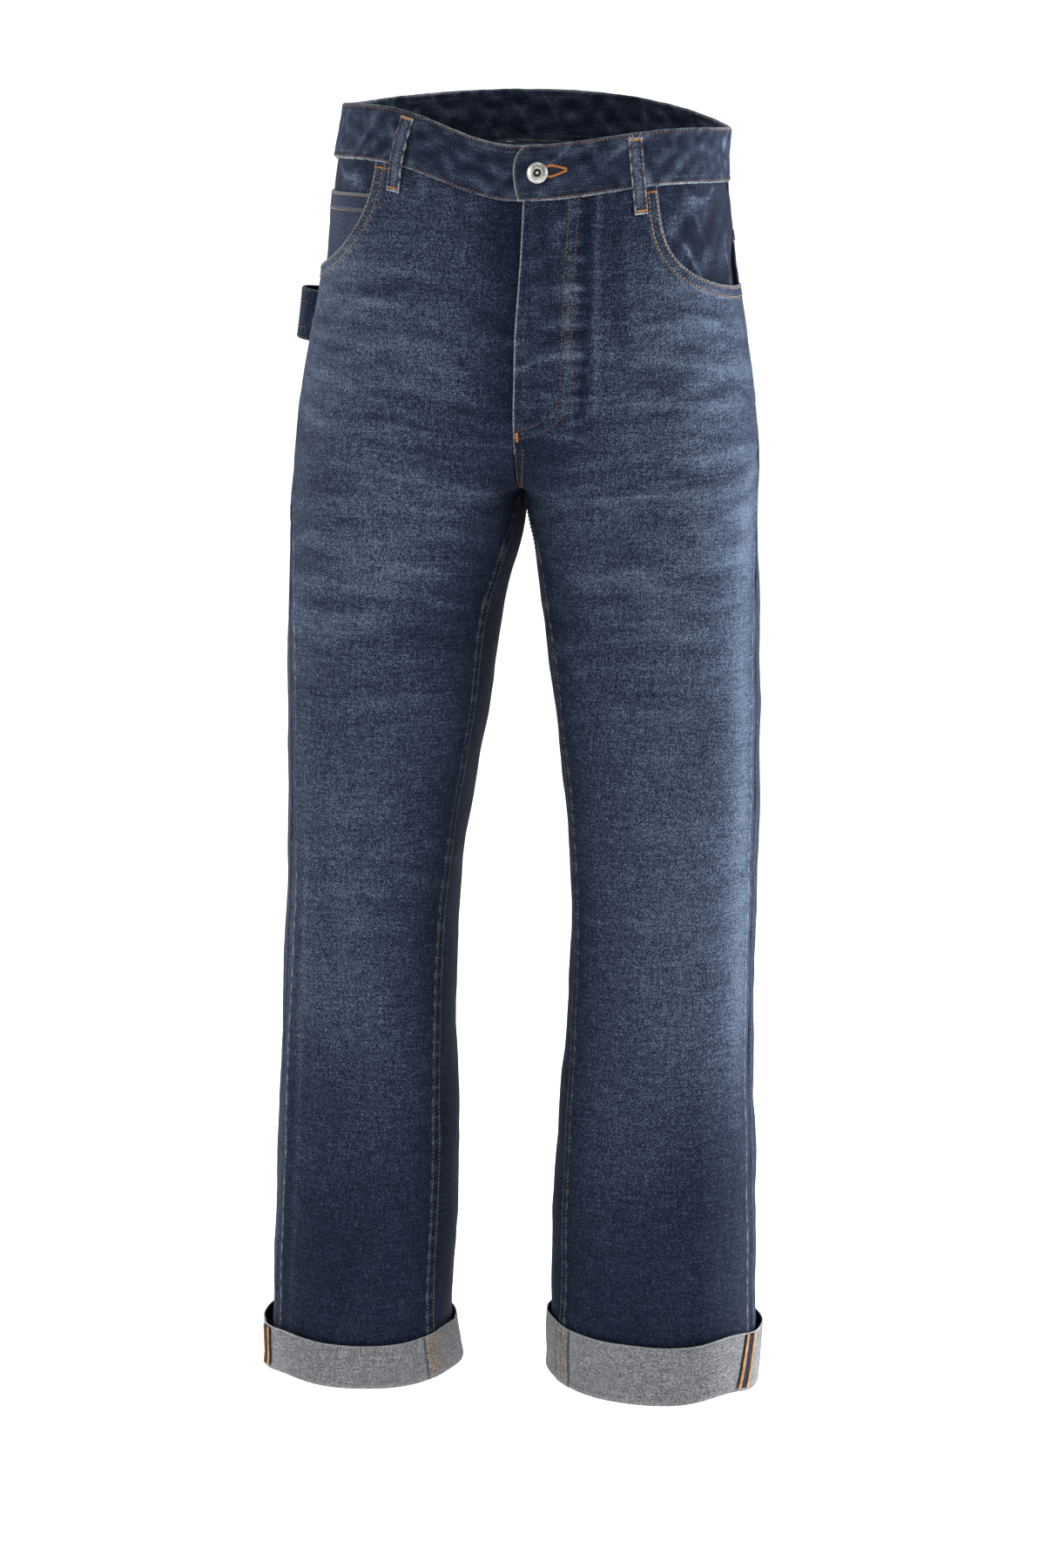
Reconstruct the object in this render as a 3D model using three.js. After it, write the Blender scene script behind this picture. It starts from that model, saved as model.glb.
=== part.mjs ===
// Straight leg jeans with turned-up hems, worn and hollow.
//
// Millimetres. +Z is up, +X is the wearer's left and the front faces -Y.
// The origin is the middle of the waist, at half the height of the waistband at the sides.
// The garment is one skin, set by sections. Each piece of cloth is a stretch of that skin made into a thin
// wall, and what lies on a panel is made from the panel's own places, moved out.

import * as THREE from "three";

// Driving dimensions
const SEAM_GAP = 0.3; // between pieces that are sewn together
const DENIM = 1.4; // one layer of cloth
const BAND_THICK = 3.2; // the waistband is two layers with their edges turned in
const BAND_PROUD = 1.0; // the waistband's face stands out this far from the panels below it
const BAND_HEIGHT = 42;
const CROTCH_Z = -267;
const HEM_Z = -1005; // the fold at the bottom of the legs
const RIGHT = -1; // the wearer's right, at -X
const LEFT = 1;
const DEG = Math.PI / 180;

// Sections of the skin from the waist to the hem. "out" and "in" are the widest and the innermost reach
// from the middle plane on the wearer's right (R) and left (L). front and back are the foremost and
// rearmost Y. seam is how many degrees the outseam lies in front of the outer side, and inseam how many
// it lies in front of the inner side.
const SECTION_COLUMNS = ["z", "outR", "inR", "outL", "inL", "front", "back", "seamR", "seamL", "inseam"];
const SECTIONS = [
  [75, 146, 0, 154, 0, -97, 94, -4, -6, 0],
  [25, 150, 0, 152, 0, -102, 102, -4, -6, 0],
  [-15, 157, 0, 150.5, 0, -107, 110, -4, -7, 0],
  [-55, 161.5, 0, 155, 0, -110, 118, -4, -8, 0],
  [-100, 166.5, 0, 161, 0, -113, 126, -3, -8, 0],
  [-150, 175, 0, 170, 0, -114, 133, 0, -7, 0],
  [-210, 183, 0, 178.5, 0, -113, 135, 8, -5, 0],
  [-267, 187, 0.4, 181.5, 0.4, -108, 129, 18, 0, 8],
  [-310, 189, 4, 183, 8, -102, 120, 26, 7, 22],
  [-365, 190.5, 18, 186, 16, -97, 109, 31, 12, 26],
  [-440, 191, 27, 189, 27, -91, 99, 35, 15, 26],
  [-520, 189.5, 40, 191, 37.5, -87, 92, 36, 17, 25],
  [-616, 191, 50, 191, 44, -81, 84, 36, 17, 26],
  [-716, 194.5, 50, 192, 40.5, -76, 80, 36, 17, 30],
  [-830, 198, 46, 197.5, 34, -72, 77, 36, 17, 34],
  [-930, 200.5, 49, 200.5, 34, -70, 76, 34, 16, 34],
  [-965, 201, 49.5, 201, 34, -69, 76, 33, 15, 33],
  [-1005, 204, 44, 200.5, 35, -69, 77, 32, 14, 33],
];
const WIDEST_OUT_Y = 8; // where along Y a section is widest on its outer side
const WIDEST_IN_Y = -14; // and on its inner side, which puts the crotch a little forward
const SQUARE = 0.14; // 0 gives plain ellipses, and more gives fuller corners
const FRONT_RISE_TURN = 92; // height above the crotch where the front rise starts to curve under
const BACK_RISE_TURN = 150; // the same for the seat
const RISE_CURVE = 1.7;

// Where the hems ride up round the legs. "angle" is the middle of the place and "wide" its half width.
const HEM_LIFT_COLUMNS = ["side", "angle", "wide", "rise"];
const HEM_LIFTS = [
  [RIGHT, 18, 38, 10.5],
  [RIGHT, 131, 20, 5],
  [LEFT, 14, 42, 13],
  [LEFT, 136, 22, 8],
];
const HEM_LIFT_TOP = -855; // it begins here and is whole at the next
const HEM_LIFT_WHOLE = -950;

// The waistband's lower seam: the wearer's right side sits higher than the left. From each side it dips to
// the middle of the front and rises to the middle of the back, the later the greater the power.
const WAIST_SIDE_Z = { [RIGHT]: -14.5, [LEFT]: -27.5 };
const WAIST_FRONT_Z = -43;
const WAIST_BACK_Z = -1;
const WAIST_FRONT_POWER = { [RIGHT]: 11, [LEFT]: 8 };
const WAIST_BACK_POWER = 2.2;

// The largest folds. angle and z give each end, across is the half width, and rise is how far the cloth
// stands out, or in where it is negative.
const FOLD_COLUMNS = ["side", "angle0", "z0", "angle1", "z1", "across", "rise"];
const FOLDS = [
  [RIGHT, 8, -262, 84, -242, 9, -4.5],
  [RIGHT, 24, -288, 100, -264, 13, 2.6],
  [RIGHT, 40, -322, 112, -292, 12, -1.8],
  [LEFT, 16, -276, 92, -258, 10, -2.4],
  [LEFT, 30, -306, 104, -284, 14, 1.8],
  [RIGHT, 96, -60, 106, -236, 8, -2.6],
  [RIGHT, 158, -660, 160, -1004, 10, -3.2],
  [RIGHT, 136, -600, 139, -1004, 12, 2.2],
  [LEFT, 48, -700, 44, -1004, 11, 2.2],
  [LEFT, 116, -640, 118, -1004, 16, 2.0],
  [LEFT, 84, -720, 80, -1004, 14, -1.8],
  [RIGHT, 256, -318, 348, -286, 18, 3.4],
  [LEFT, 252, -324, 348, -290, 18, 3.0],
  [RIGHT, 236, -358, 340, -326, 17, -3.0],
  [LEFT, 232, -362, 340, -330, 17, -2.8],
  [RIGHT, 215, -575, 325, -550, 15, -3.5],
  [LEFT, 212, -571, 325, -555, 15, -3.8],
  [RIGHT, 225, -640, 325, -612, 16, 3.0],
  [LEFT, 220, -646, 322, -616, 16, 2.6],
  [RIGHT, 236, -900, 320, -884, 15, -2.5],
  [LEFT, 238, -904, 318, -890, 15, -2.5],
];
const FOLD_RADIUS = 85; // turns a fold's angles into lengths along the cloth
const FOLD_FADE = 16;

// Front pocket: its mouth curves from the waist to the outseam, in shares of the panel. The greater the
// power, the nearer it comes to a square corner.
const MOUTH_WAIST_T = { [RIGHT]: 0.44, [LEFT]: 0.4 };
const MOUTH_SIDE_H = { [RIGHT]: 0.335, [LEFT]: 0.33 };
const MOUTH_POWER = { [RIGHT]: 2.6, [LEFT]: 3.6 };
const MOUTH_GAPE = 1.4;
const COIN_TOP_H = 0.1;
const YOKE_SIDE_H = 0.15;
const YOKE_CENTRE_H = 0.29;

// Fly: the left front laps over the right one
const FLY_LAP = 2;
const FLY_LIFT = 2.4;
const FLY_WIDTH_T = 0.3;
const FLY_END_H = 0.82;

const CUFF_GAP = 3.1; // from the leg to the turned-up cloth
const CUFF_HEIGHT = { [RIGHT]: 38, [LEFT]: 50 };
const CUFF_LEAN_OUTER = { [RIGHT]: 2.4, [LEFT]: 1.2 }; // more at the top edge, on the outer side
const CUFF_LEAN_INNER = { [RIGHT]: -1.4, [LEFT]: -1.2 };

const namedRow = (columns, row) => Object.fromEntries(columns.map((name, i) => [name, row[i]]));
const sections = SECTIONS.map((row) => namedRow(SECTION_COLUMNS, row));
const folds = FOLDS.map((row) => namedRow(FOLD_COLUMNS, row));
const hemLifts = HEM_LIFTS.map((row) => namedRow(HEM_LIFT_COLUMNS, row));

const clamp = (x, low, high) => Math.min(high, Math.max(low, x));
const mix = (a, b, share) => a + (b - a) * share;
const ease = (x) => {
  const s = clamp(x, 0, 1);
  return s * s * (3 - 2 * s);
};
const shares = (count) => Array.from({ length: count + 1 }, (_, i) => i / count);

// A column of the section table at any height, as a smooth curve through its rows
function column(name, z) {
  const last = sections.length - 2;
  const below = sections.findIndex((row) => row.z < z);
  const i = clamp(below < 0 ? last : below - 1, 0, last);
  const [a, b] = [sections[i], sections[i + 1]];
  const before = sections[Math.max(i - 1, 0)];
  const after = sections[Math.min(i + 2, last + 1)];
  const span = b.z - a.z;
  const slopeA = ((b[name] - before[name]) / (b.z - before.z)) * span;
  const slopeB = ((after[name] - a[name]) / (after.z - a.z)) * span;
  const s = clamp((z - a.z) / span, 0, 1);
  const [s2, s3] = [s * s, s * s * s];
  return (
    (2 * s3 - 3 * s2 + 1) * a[name] + (s3 - 2 * s2 + s) * slopeA +
    (3 * s2 - 2 * s3) * b[name] + (s3 - s2) * slopeB
  );
}

const sideColumn = (name, side, z) => column(name + (side === RIGHT ? "R" : "L"), z);

// How far a section has split into two legs: 0 is one oval, and 1 is two that touch
function split(turn, z) {
  if (z <= CROTCH_Z) return 1;
  return clamp(1 - (z - CROTCH_Z) / turn, 0, 1) ** RISE_CURVE;
}

const fullCos = (angle) => Math.cos(angle) * (1 + SQUARE * Math.sin(angle) ** 2);
const fullSin = (angle) => Math.sin(angle) * (1 + SQUARE * Math.cos(angle) ** 2);

// How far the folds put the cloth out at an angle and height
function drape(side, angle, z) {
  let out = 0;
  for (const fold of folds) {
    if (fold.side !== side) continue;
    const wide = (fold.angle1 - fold.angle0) * DEG * FOLD_RADIUS;
    const high = fold.z1 - fold.z0;
    const long = Math.hypot(wide, high);
    const x = (angle - fold.angle0 * DEG) * FOLD_RADIUS;
    const y = z - fold.z0;
    const off = (x * high - y * wide) / long;
    const along = clamp((2 * (x * wide + y * high)) / long ** 2 - 1, -1, 1);
    out += fold.rise * Math.exp(-((off / fold.across) ** 2)) * (1 - along ** 2) ** 1.2;
  }
  return out;
}

function middleOf(side, z, isFront) {
  const outer = sideColumn("out", side, z);
  if (z <= CROTCH_Z) return (outer + sideColumn("in", side, z)) / 2;
  const q = split(isFront ? FRONT_RISE_TURN : BACK_RISE_TURN, z);
  return (q * outer) / (1 + q);
}

function hemLift(side, angle, z) {
  let lift = 0;
  for (const place of hemLifts) {
    if (place.side !== side) continue;
    const away = (1 - Math.cos(angle - place.angle * DEG)) / (1 - Math.cos(place.wide * DEG));
    lift += place.rise * Math.exp(-away);
  }
  return lift * ease((HEM_LIFT_TOP - z) / (HEM_LIFT_TOP - HEM_LIFT_WHOLE));
}

// A point of the skin without folds. angle is 0 at the innermost point, 90 degrees at the front, 180 at
// the outer side and 270 at the back.
function plainSkin(side, angle, z) {
  const isFront = Math.sin(angle) >= 0;
  const middle = middleOf(side, z, isFront);
  const half = sideColumn("out", side, z) - middle;
  const widestY = mix(WIDEST_IN_Y, WIDEST_OUT_Y, (1 - Math.cos(angle)) / 2);
  const reach = isFront ? widestY - column("front", z) : column("back", z) - widestY;
  const x = side * (middle - half * fullCos(angle));
  return new THREE.Vector3(x, widestY - reach * fullSin(angle), z + hemLift(side, angle, z));
}

// The normal of a surface at(angle, z), pointing out of the garment
function normalOf(at, side, angle, z) {
  const step = 0.012;
  const high = 1.5;
  const round = at(angle + step, z).sub(at(angle - step, z));
  const up = at(angle, z + high).sub(at(angle, z - high));
  return round.cross(up).multiplyScalar(side).normalize();
}

// A point of the skin with its folds, moved out by a distance. Folds die away at the middle plane.
function skin(side, angle, z, out = 0) {
  const point = plainSkin(side, angle, z);
  const normal = normalOf((a, h) => plainSkin(side, a, h), side, angle, z);
  const fold = drape(side, angle, z) * ease((side * point.x) / FOLD_FADE);
  return point.addScaledVector(normal, fold + out);
}

const skinNormal = (side, angle, z) => normalOf((a, h) => skin(side, a, h), side, angle, z);

// The angle where the skin is so far from the middle plane, between the inner side and the front
function angleAt(side, z, reach, isFront = true) {
  const middle = middleOf(side, z, isFront);
  const target = (middle - reach) / (sideColumn("out", side, z) - middle);
  let [low, high] = [0, Math.PI];
  for (let i = 0; i < 40; i++) {
    const half = (low + high) / 2;
    if (fullCos(half) > target) low = half;
    else high = half;
  }
  return (low + high) / 2;
}

const outseamAngle = (side, z) => Math.PI - sideColumn("seam", side, z) * DEG;
const inseamAngle = (z) => column("inseam", z) * DEG;

function frontStart(side, z) {
  return z > CROTCH_Z ? angleAt(side, z, 0, true) : inseamAngle(z);
}

function backEnd(side, z) {
  return 2 * Math.PI + (z > CROTCH_Z ? -angleAt(side, z, 0, false) : inseamAngle(z));
}

// Height of the waistband's lower seam, by the angle round the body
function waistZ(side, angle) {
  const toFront = Math.sin(angle);
  if (toFront > 0) return mix(WAIST_SIDE_Z[side], WAIST_FRONT_Z, toFront ** WAIST_FRONT_POWER[side]);
  return mix(WAIST_SIDE_Z[side], WAIST_BACK_Z, (-toFront) ** WAIST_BACK_POWER);
}

// Panels are laid out in shares: t runs across one, and h runs down it, from 0 at the waist through 1 at
// the crotch to 2 at the hem.
function heightAt(side, waistAngle, h) {
  if (h > 1) return mix(CROTCH_Z, HEM_Z, h - 1);
  return mix(waistZ(side, waistAngle), CROTCH_Z, h);
}

function frontPlace(side, t, h) {
  const z = heightAt(side, mix(Math.PI / 2, outseamAngle(side, 0), t), h);
  return { side, angle: mix(frontStart(side, z), outseamAngle(side, z), t), z, out: 0 };
}

function backPlace(side, t, h) {
  const z = heightAt(side, mix(outseamAngle(side, 0), Math.PI * 1.5, t), h);
  return { side, angle: mix(outseamAngle(side, z), backEnd(side, z), t), z, out: 0 };
}

// A place by the degrees round the waist from the middle of the front, first to the wearer's right
function roundPlace(degrees, above, out) {
  const turn = ((degrees % 360) + 360) % 360;
  const side = turn <= 180 ? RIGHT : LEFT;
  const angle = (90 + (turn <= 180 ? turn : 360 - turn)) * DEG;
  return { side, angle, z: waistZ(side, angle) + above, out };
}

// A geometry from points and triangles, with its faces turned out
function facingOut(points, faces) {
  let volume = 0;
  for (let k = 0; k < faces.length; k += 3) {
    const [a, b, c] = [points[faces[k]], points[faces[k + 1]], points[faces[k + 2]]];
    volume += a.dot(b.clone().cross(c));
  }
  const turned = volume < 0 ? faces.map((_, k) => faces[k - (k % 3) + [0, 2, 1][k % 3]]) : faces;
  const geometry = new THREE.BufferGeometry();
  geometry.setAttribute("position", new THREE.Float32BufferAttribute(points.flatMap((p) => p.toArray()), 3));
  geometry.setIndex(turned);
  geometry.computeVertexNormals();
  return geometry;
}

// A closed wall over a grid of { outer, inner } points. With isRound the last column joins the first.
function wallGeometry(grid, isRound = false) {
  const rows = grid.length;
  const columns = grid[0].length;
  const points = grid.flatMap((row) => row.flatMap((cell) => [cell.outer, cell.inner]));
  const outer = (i, j) => 2 * (i * columns + (j % columns));
  const inner = (i, j) => outer(i, j) + 1;
  const faces = [];
  const quad = (a, b, c, d) => faces.push(a, b, c, a, c, d);
  const across = isRound ? columns : columns - 1;
  for (let j = 0; j < across; j++) {
    for (let i = 0; i < rows - 1; i++) {
      quad(outer(i, j), outer(i + 1, j), outer(i + 1, j + 1), outer(i, j + 1));
      quad(inner(i, j), inner(i, j + 1), inner(i + 1, j + 1), inner(i + 1, j));
    }
    quad(outer(0, j), outer(0, j + 1), inner(0, j + 1), inner(0, j));
    quad(outer(rows - 1, j + 1), outer(rows - 1, j), inner(rows - 1, j), inner(rows - 1, j + 1));
  }
  for (let i = 0; i < rows - 1 && !isRound; i++) {
    const end = columns - 1;
    quad(outer(i + 1, 0), outer(i, 0), inner(i, 0), inner(i + 1, 0));
    quad(outer(i, end), outer(i + 1, end), inner(i + 1, end), inner(i, end));
  }
  return facingOut(points, faces);
}

// One thickness of cloth over a grid of places on the skin
function clothWall(grid, thick) {
  const cells = grid.map((row) =>
    row.map(({ side, angle, z, out, isMiddle }) => {
      const outer = skin(side, angle, z, out);
      if (isMiddle) outer.x = (side * SEAM_GAP) / 2;
      const inner = outer.clone().addScaledVector(skinNormal(side, angle, z), -thick);
      if (isMiddle) inner.x = side * Math.max(side * inner.x, SEAM_GAP / 2);
      return { outer, inner };
    }),
  );
  return wallGeometry(cells);
}

// Moves a share in from a seam at 0 or 1, on a panel that is about so wide. The seams slant just below
// the crotch and take a little more.
function inset(t, width, h = 0) {
  const slant = h >= 1 ? 1 + 2.5 * (1 - ease((h - 1.04) / 0.06)) : 1;
  const edge = (slant * SEAM_GAP) / 2 / width;
  return clamp(t, edge, 1 - edge);
}
const FRONT_WIDTH = 230;
const BACK_WIDTH = 270;
const WAIST_EDGE_H = SEAM_GAP / 200;
const CUFF_FOLD = (CUFF_GAP + 2 * DENIM) / 2;
const CUFF_SEAM_GAP = 0.5; // more than elsewhere, because the hems ride up
const LEG_END_H = 1 - (CUFF_FOLD + CUFF_SEAM_GAP) / (CROTCH_Z - HEM_Z);
const FRONT_COLUMNS = 12;
const BACK_COLUMNS = 12;
const ROWS_ABOVE = 17;
const ROWS_BELOW = 19;
const legRows = shares(ROWS_BELOW).slice(1).map((share) => 1 + share * LEG_END_H);

// The outer edge of a front above the crotch: down the pocket's mouth, and then the outseam
const MOUTH_ROWS = 9 / ROWS_ABOVE;
function frontOuterEdge(side, share) {
  if (share >= MOUTH_ROWS) {
    return { t: 1, h: mix(MOUTH_SIDE_H[side], 1, (share - MOUTH_ROWS) / (1 - MOUTH_ROWS)) };
  }
  const turn = ((1 - Math.cos((share / MOUTH_ROWS) * Math.PI)) / 2) * (Math.PI / 2);
  const power = 2 / MOUTH_POWER[side];
  const across = (1 - MOUTH_WAIST_T[side]) * Math.cos(turn) ** power;
  return { t: 1 - across, h: MOUTH_SIDE_H[side] * Math.sin(turn) ** power };
}

function frontPlaceOnFly(side, t, h) {
  const place = frontPlace(side, inset(t, FRONT_WIDTH, h), Math.max(h, WAIST_EDGE_H));
  place.isMiddle = t === 0 && h < 1;
  if (side === RIGHT) return place;
  place.out = FLY_LIFT * ease(1.2 - t / FLY_WIDTH_T) * ease((FLY_END_H - h) / 0.14);
  const reach = FLY_LAP * ease((FLY_END_H - 0.12 - h) / 0.1);
  if (t > 0 || reach === 0) return place;
  return { side: RIGHT, angle: angleAt(RIGHT, place.z, reach), z: place.z, out: place.out };
}

function frontPanel(side) {
  const grid = [];
  for (const share of shares(ROWS_ABOVE)) {
    const edge = frontOuterEdge(side, share);
    const middleH = 1 - (1 - share) ** 2;
    const gape = share < MOUTH_ROWS ? MOUTH_GAPE * Math.sin((share / MOUTH_ROWS) * Math.PI) : 0;
    grid.push(
      shares(FRONT_COLUMNS).map((c) => {
        const place = frontPlaceOnFly(side, edge.t * c, mix(middleH, edge.h, c));
        place.out += gape * ease((c - 0.7) / 0.3);
        return place;
      }),
    );
  }
  for (const h of legRows) {
    grid.push(shares(FRONT_COLUMNS).map((t) => frontPlace(side, inset(t, FRONT_WIDTH, h), h)));
  }
  return clothWall(grid, DENIM);
}

const yokeH = (t) => mix(YOKE_SIDE_H, YOKE_CENTRE_H, t);
function backPlaceInset(side, t, h) {
  return { ...backPlace(side, inset(t, BACK_WIDTH, h), h), isMiddle: t === 1 && h < 1 };
}

function backPanel(side) {
  const grid = [];
  for (const share of shares(ROWS_ABOVE - 4)) {
    const middleH = 1 - (1 - share) ** 2;
    grid.push(
      shares(BACK_COLUMNS).map((t) => {
        const top = yokeH(t) + WAIST_EDGE_H / 2;
        return backPlaceInset(side, t, mix(top, 1, mix(share, middleH, t)));
      }),
    );
  }
  for (const h of legRows) grid.push(shares(BACK_COLUMNS).map((t) => backPlaceInset(side, t, h)));
  return clothWall(grid, DENIM);
}

function yoke(side) {
  const grid = shares(3).map((share) =>
    shares(BACK_COLUMNS).map((t) => {
      const end = yokeH(t) - WAIST_EDGE_H / 2;
      return backPlaceInset(side, t, mix(WAIST_EDGE_H, end, share));
    }),
  );
  return clothWall(grid, DENIM);
}

// The cloth seen inside the pocket's mouth lies under the front, and comes level with it at the outseam
const FACING_START_T = 0.33;
const FACING_END_H = 0.44;
const FACING_THICK = 1.2;
const FACING_DEEP = 4.8;
const FACING_SHALLOW = 0.5;
function facingDepth(t, h) {
  return mix(FACING_DEEP, FACING_SHALLOW, ease((t - 0.8) / 0.18) * (1 - ease((h - 0.14) / 0.13)));
}

function pocketFacing(side) {
  const grid = shares(9).map((down) =>
    shares(10).map((c) => {
      const t = mix(FACING_START_T, 1, c);
      const h = mix(WAIST_EDGE_H, FACING_END_H, down);
      return { ...frontPlace(side, inset(t, FRONT_WIDTH), h), out: -facingDepth(t, h) };
    }),
  );
  return clothWall(grid, FACING_THICK);
}

// The small pocket lies on the right facing
const COIN_START_T = 0.38;
const COIN_END_T = 0.985;
const COIN_END_H = 0.42;
const COIN_THICK = 1.0;
const COIN_CLEAR = 0.8;
function coinPocket() {
  const grid = shares(8).map((down) =>
    shares(8).map((c) => {
      const t = mix(COIN_START_T, COIN_END_T, c);
      const h = mix(COIN_TOP_H, COIN_END_H, down);
      return { ...frontPlace(RIGHT, t, h), out: -facingDepth(t, h) + COIN_CLEAR + COIN_THICK };
    }),
  );
  return clothWall(grid, COIN_THICK);
}

// The strip behind the fly, inside both fronts
const SHIELD_RIGHT = 20;
const SHIELD_LEFT = 38;
const SHIELD_END_H = 0.74;
const SHIELD_CLEAR = 0.6; // the fronts curve round it
function flyShield() {
  const grid = shares(8).map((down) =>
    shares(5).map((c) => {
      const x = mix(-SHIELD_RIGHT, SHIELD_LEFT * (1 - 0.4 * ease((down - 0.7) / 0.3)), c);
      const side = x < 0 ? RIGHT : LEFT;
      const z = heightAt(side, Math.PI / 2, mix(WAIST_EDGE_H * 3, SHIELD_END_H, down));
      return { side, angle: angleAt(side, z, Math.abs(x)), z, out: -DENIM - SHIELD_CLEAR };
    }),
  );
  return clothWall(grid, 1.2);
}

// Back pocket: straight sides that draw in, and a shallow point at the bottom
const PATCH_TOP_H = 0.3;
const PATCH_DEEP_H = 0.56;
const PATCH_POINT_H = 0.07;
const PATCH_CLEAR = 0.6; // the panel curves round under it
const PATCH_MIDDLE_T = 0.53;
const PATCH_TOP_T = 0.26;
const PATCH_BOTTOM_T = 0.22;
function backPocket(side) {
  const grid = shares(10).map((down) =>
    shares(10).map((c) => {
      const half = mix(PATCH_TOP_T, PATCH_BOTTOM_T, down);
      const point = PATCH_POINT_H * (1 - Math.abs(2 * c - 1)) * down;
      const h = PATCH_TOP_H + 0.06 * (c - 0.5) * (1 - down) + PATCH_DEEP_H * down + point;
      const out = SEAM_GAP + DENIM + PATCH_CLEAR;
      return { ...backPlace(side, PATCH_MIDDLE_T + half * (2 * c - 1), h), out };
    }),
  );
  return clothWall(grid, DENIM);
}

// Waistband: one strip from the end that lies under, round the body, to the end that laps over it
const UNDER_END = -14; // degrees round from the middle of the front
const OVER_END = 360.6;
const OVER_RISES = 322; // where the over-lapping end starts to stand out
const OVER_FULL = 345;
const BAND_COLUMNS = 58;
const BAND_CORNER = 2.5;
const bandOut = (degrees) =>
  BAND_PROUD + (BAND_THICK + SEAM_GAP) * ease((degrees - OVER_RISES) / (OVER_FULL - OVER_RISES));

function waistband() {
  const grid = shares(4).map((up) =>
    shares(BAND_COLUMNS).map((c) => {
      const degrees = mix(UNDER_END, OVER_END, c);
      const corner = c === 1 ? BAND_CORNER * up ** 4 : 0;
      return roundPlace(degrees, SEAM_GAP / 2 + (BAND_HEIGHT - corner) * up, bandOut(degrees));
    }),
  );
  return clothWall(grid, BAND_THICK);
}

// Belt loops, by the degrees round of their top and bottom ends
const LOOP_WIDE_DEGREES = 4.6;
const LOOP_THICK = 2;
const LOOP_TOP = 38; // above the waistband's lower seam
const LOOP_BOTTOM = -20;
const LOOP_BOW = 2.6;
const BELT_LOOPS = {
  belt_loop_front_right: [31, 33.4],
  belt_loop_side_right: [122, 122],
  belt_loop_back: [180, 180],
  belt_loop_side_left: [238, 238],
  belt_loop_front_left: [329, 327],
};
const LOOP_CLEAR = 0.45;
const loopLift = (above) => BAND_PROUD * ease((above + 8) / 6) + LOOP_CLEAR;

function beltLoop(topDegrees, bottomDegrees) {
  const grid = shares(9).map((down) =>
    shares(2).map((c) => {
      const degrees = mix(topDegrees, bottomDegrees, down) + LOOP_WIDE_DEGREES * (c - 0.5);
      const above = mix(LOOP_TOP, LOOP_BOTTOM, down);
      const seat = loopLift(above) + bandOut(degrees) - BAND_PROUD;
      const bow = LOOP_BOW * Math.sin(Math.PI * down) ** 0.7;
      return roundPlace(degrees, above, seat + SEAM_GAP + LOOP_THICK + bow);
    }),
  );
  return clothWall(grid, LOOP_THICK);
}

// The strap that stands out behind the right outseam, like an arch seen from above
const STRAP_START = 183; // degrees of the skin's angle, just behind the outseam
const STRAP_END = 204;
const STRAP_TOP_Z = -121;
const STRAP_BOTTOM_Z = -161;
const STRAP_RISE = 19;
const STRAP_SEAT = 2.0;
function hammerLoop() {
  const grid = shares(14).map((s) =>
    shares(2).map((down) => {
      const arch = Math.sin(Math.PI * clamp((s - 0.04) / 0.9, 0, 1) ** 0.72) ** 0.62;
      const z = mix(STRAP_TOP_Z, STRAP_BOTTOM_Z, down);
      const angle = mix(STRAP_START, STRAP_END, s) * DEG;
      return { side: RIGHT, angle, z, out: SEAM_GAP + STRAP_SEAT + (STRAP_RISE - 3 * down) * arch };
    }),
  );
  return clothWall(grid, STRAP_SEAT);
}

// Cuff: the cloth goes on down from the leg, round the fold and up again outside
const CUFF_COLUMNS = 40;
const CUFF_TURN_STEPS = 5;
function cuffLean(side, angle, share) {
  const outerness = (1 - Math.cos(angle)) / 2;
  return mix(CUFF_LEAN_INNER[side], CUFF_LEAN_OUTER[side], outerness) * share;
}

function cuff(side) {
  const centreZ = HEM_Z + CUFF_FOLD;
  const stations = shares(CUFF_TURN_STEPS).map((turn) => ({ turn: turn * Math.PI, up: 0 }));
  for (const share of shares(4).slice(1)) stations.push({ turn: Math.PI, up: share });
  const grid = stations.map(({ turn, up }) =>
    shares(CUFF_COLUMNS).slice(1).map((round) => {
      const angle = round * 2 * Math.PI;
      const face = (radius) => {
        const z = centreZ - radius * Math.sin(turn) + up * (CUFF_HEIGHT[side] - CUFF_FOLD);
        const out = CUFF_GAP / 2 - radius * Math.cos(turn) + cuffLean(side, angle, up);
        return skin(side, angle, z, out);
      };
      return { outer: face(CUFF_GAP / 2 + DENIM), inner: face(CUFF_GAP / 2) };
    }),
  );
  return wallGeometry(grid, true);
}

// The edges of the outseam that show on a cuff, as one strip
const SEAM_STRIP = 15;
const SEAM_STRIP_TURN = { [RIGHT]: 0, [LEFT]: 13 }; // degrees in front of the leg's own outseam
function cuffSeam(side) {
  const grid = shares(5).map((up) =>
    shares(2).map((c) => {
      const above = mix(CUFF_FOLD + 1, CUFF_HEIGHT[side] - 0.5, up);
      const z = HEM_Z + above;
      const middle = outseamAngle(side, z) - SEAM_STRIP_TURN[side] * DEG;
      const angle = middle + ((c - 0.5) * SEAM_STRIP) / FOLD_RADIUS;
      const share = (above - CUFF_FOLD) / (CUFF_HEIGHT[side] - CUFF_FOLD);
      const out = CUFF_GAP + DENIM + cuffLean(side, angle, share) + SEAM_GAP + 1.1;
      return { side, angle, z, out };
    }),
  );
  return clothWall(grid, 1);
}

// Button: a ring with a sunk middle and a small dome in it
const BUTTON_PROFILE = [
  [7.8, 0], [8.1, 0.6], [8.1, 1.5], [7.3, 2.4], [5.4, 2.7], [3.8, 2.1], [3.2, 1.1], [2.2, 1.1], [1.3, 1.9],
];
const BUTTON_TOP = 2.1;
const BUTTON_SEGMENTS = 28;
const BUTTON_DEGREES = 355;

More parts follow.
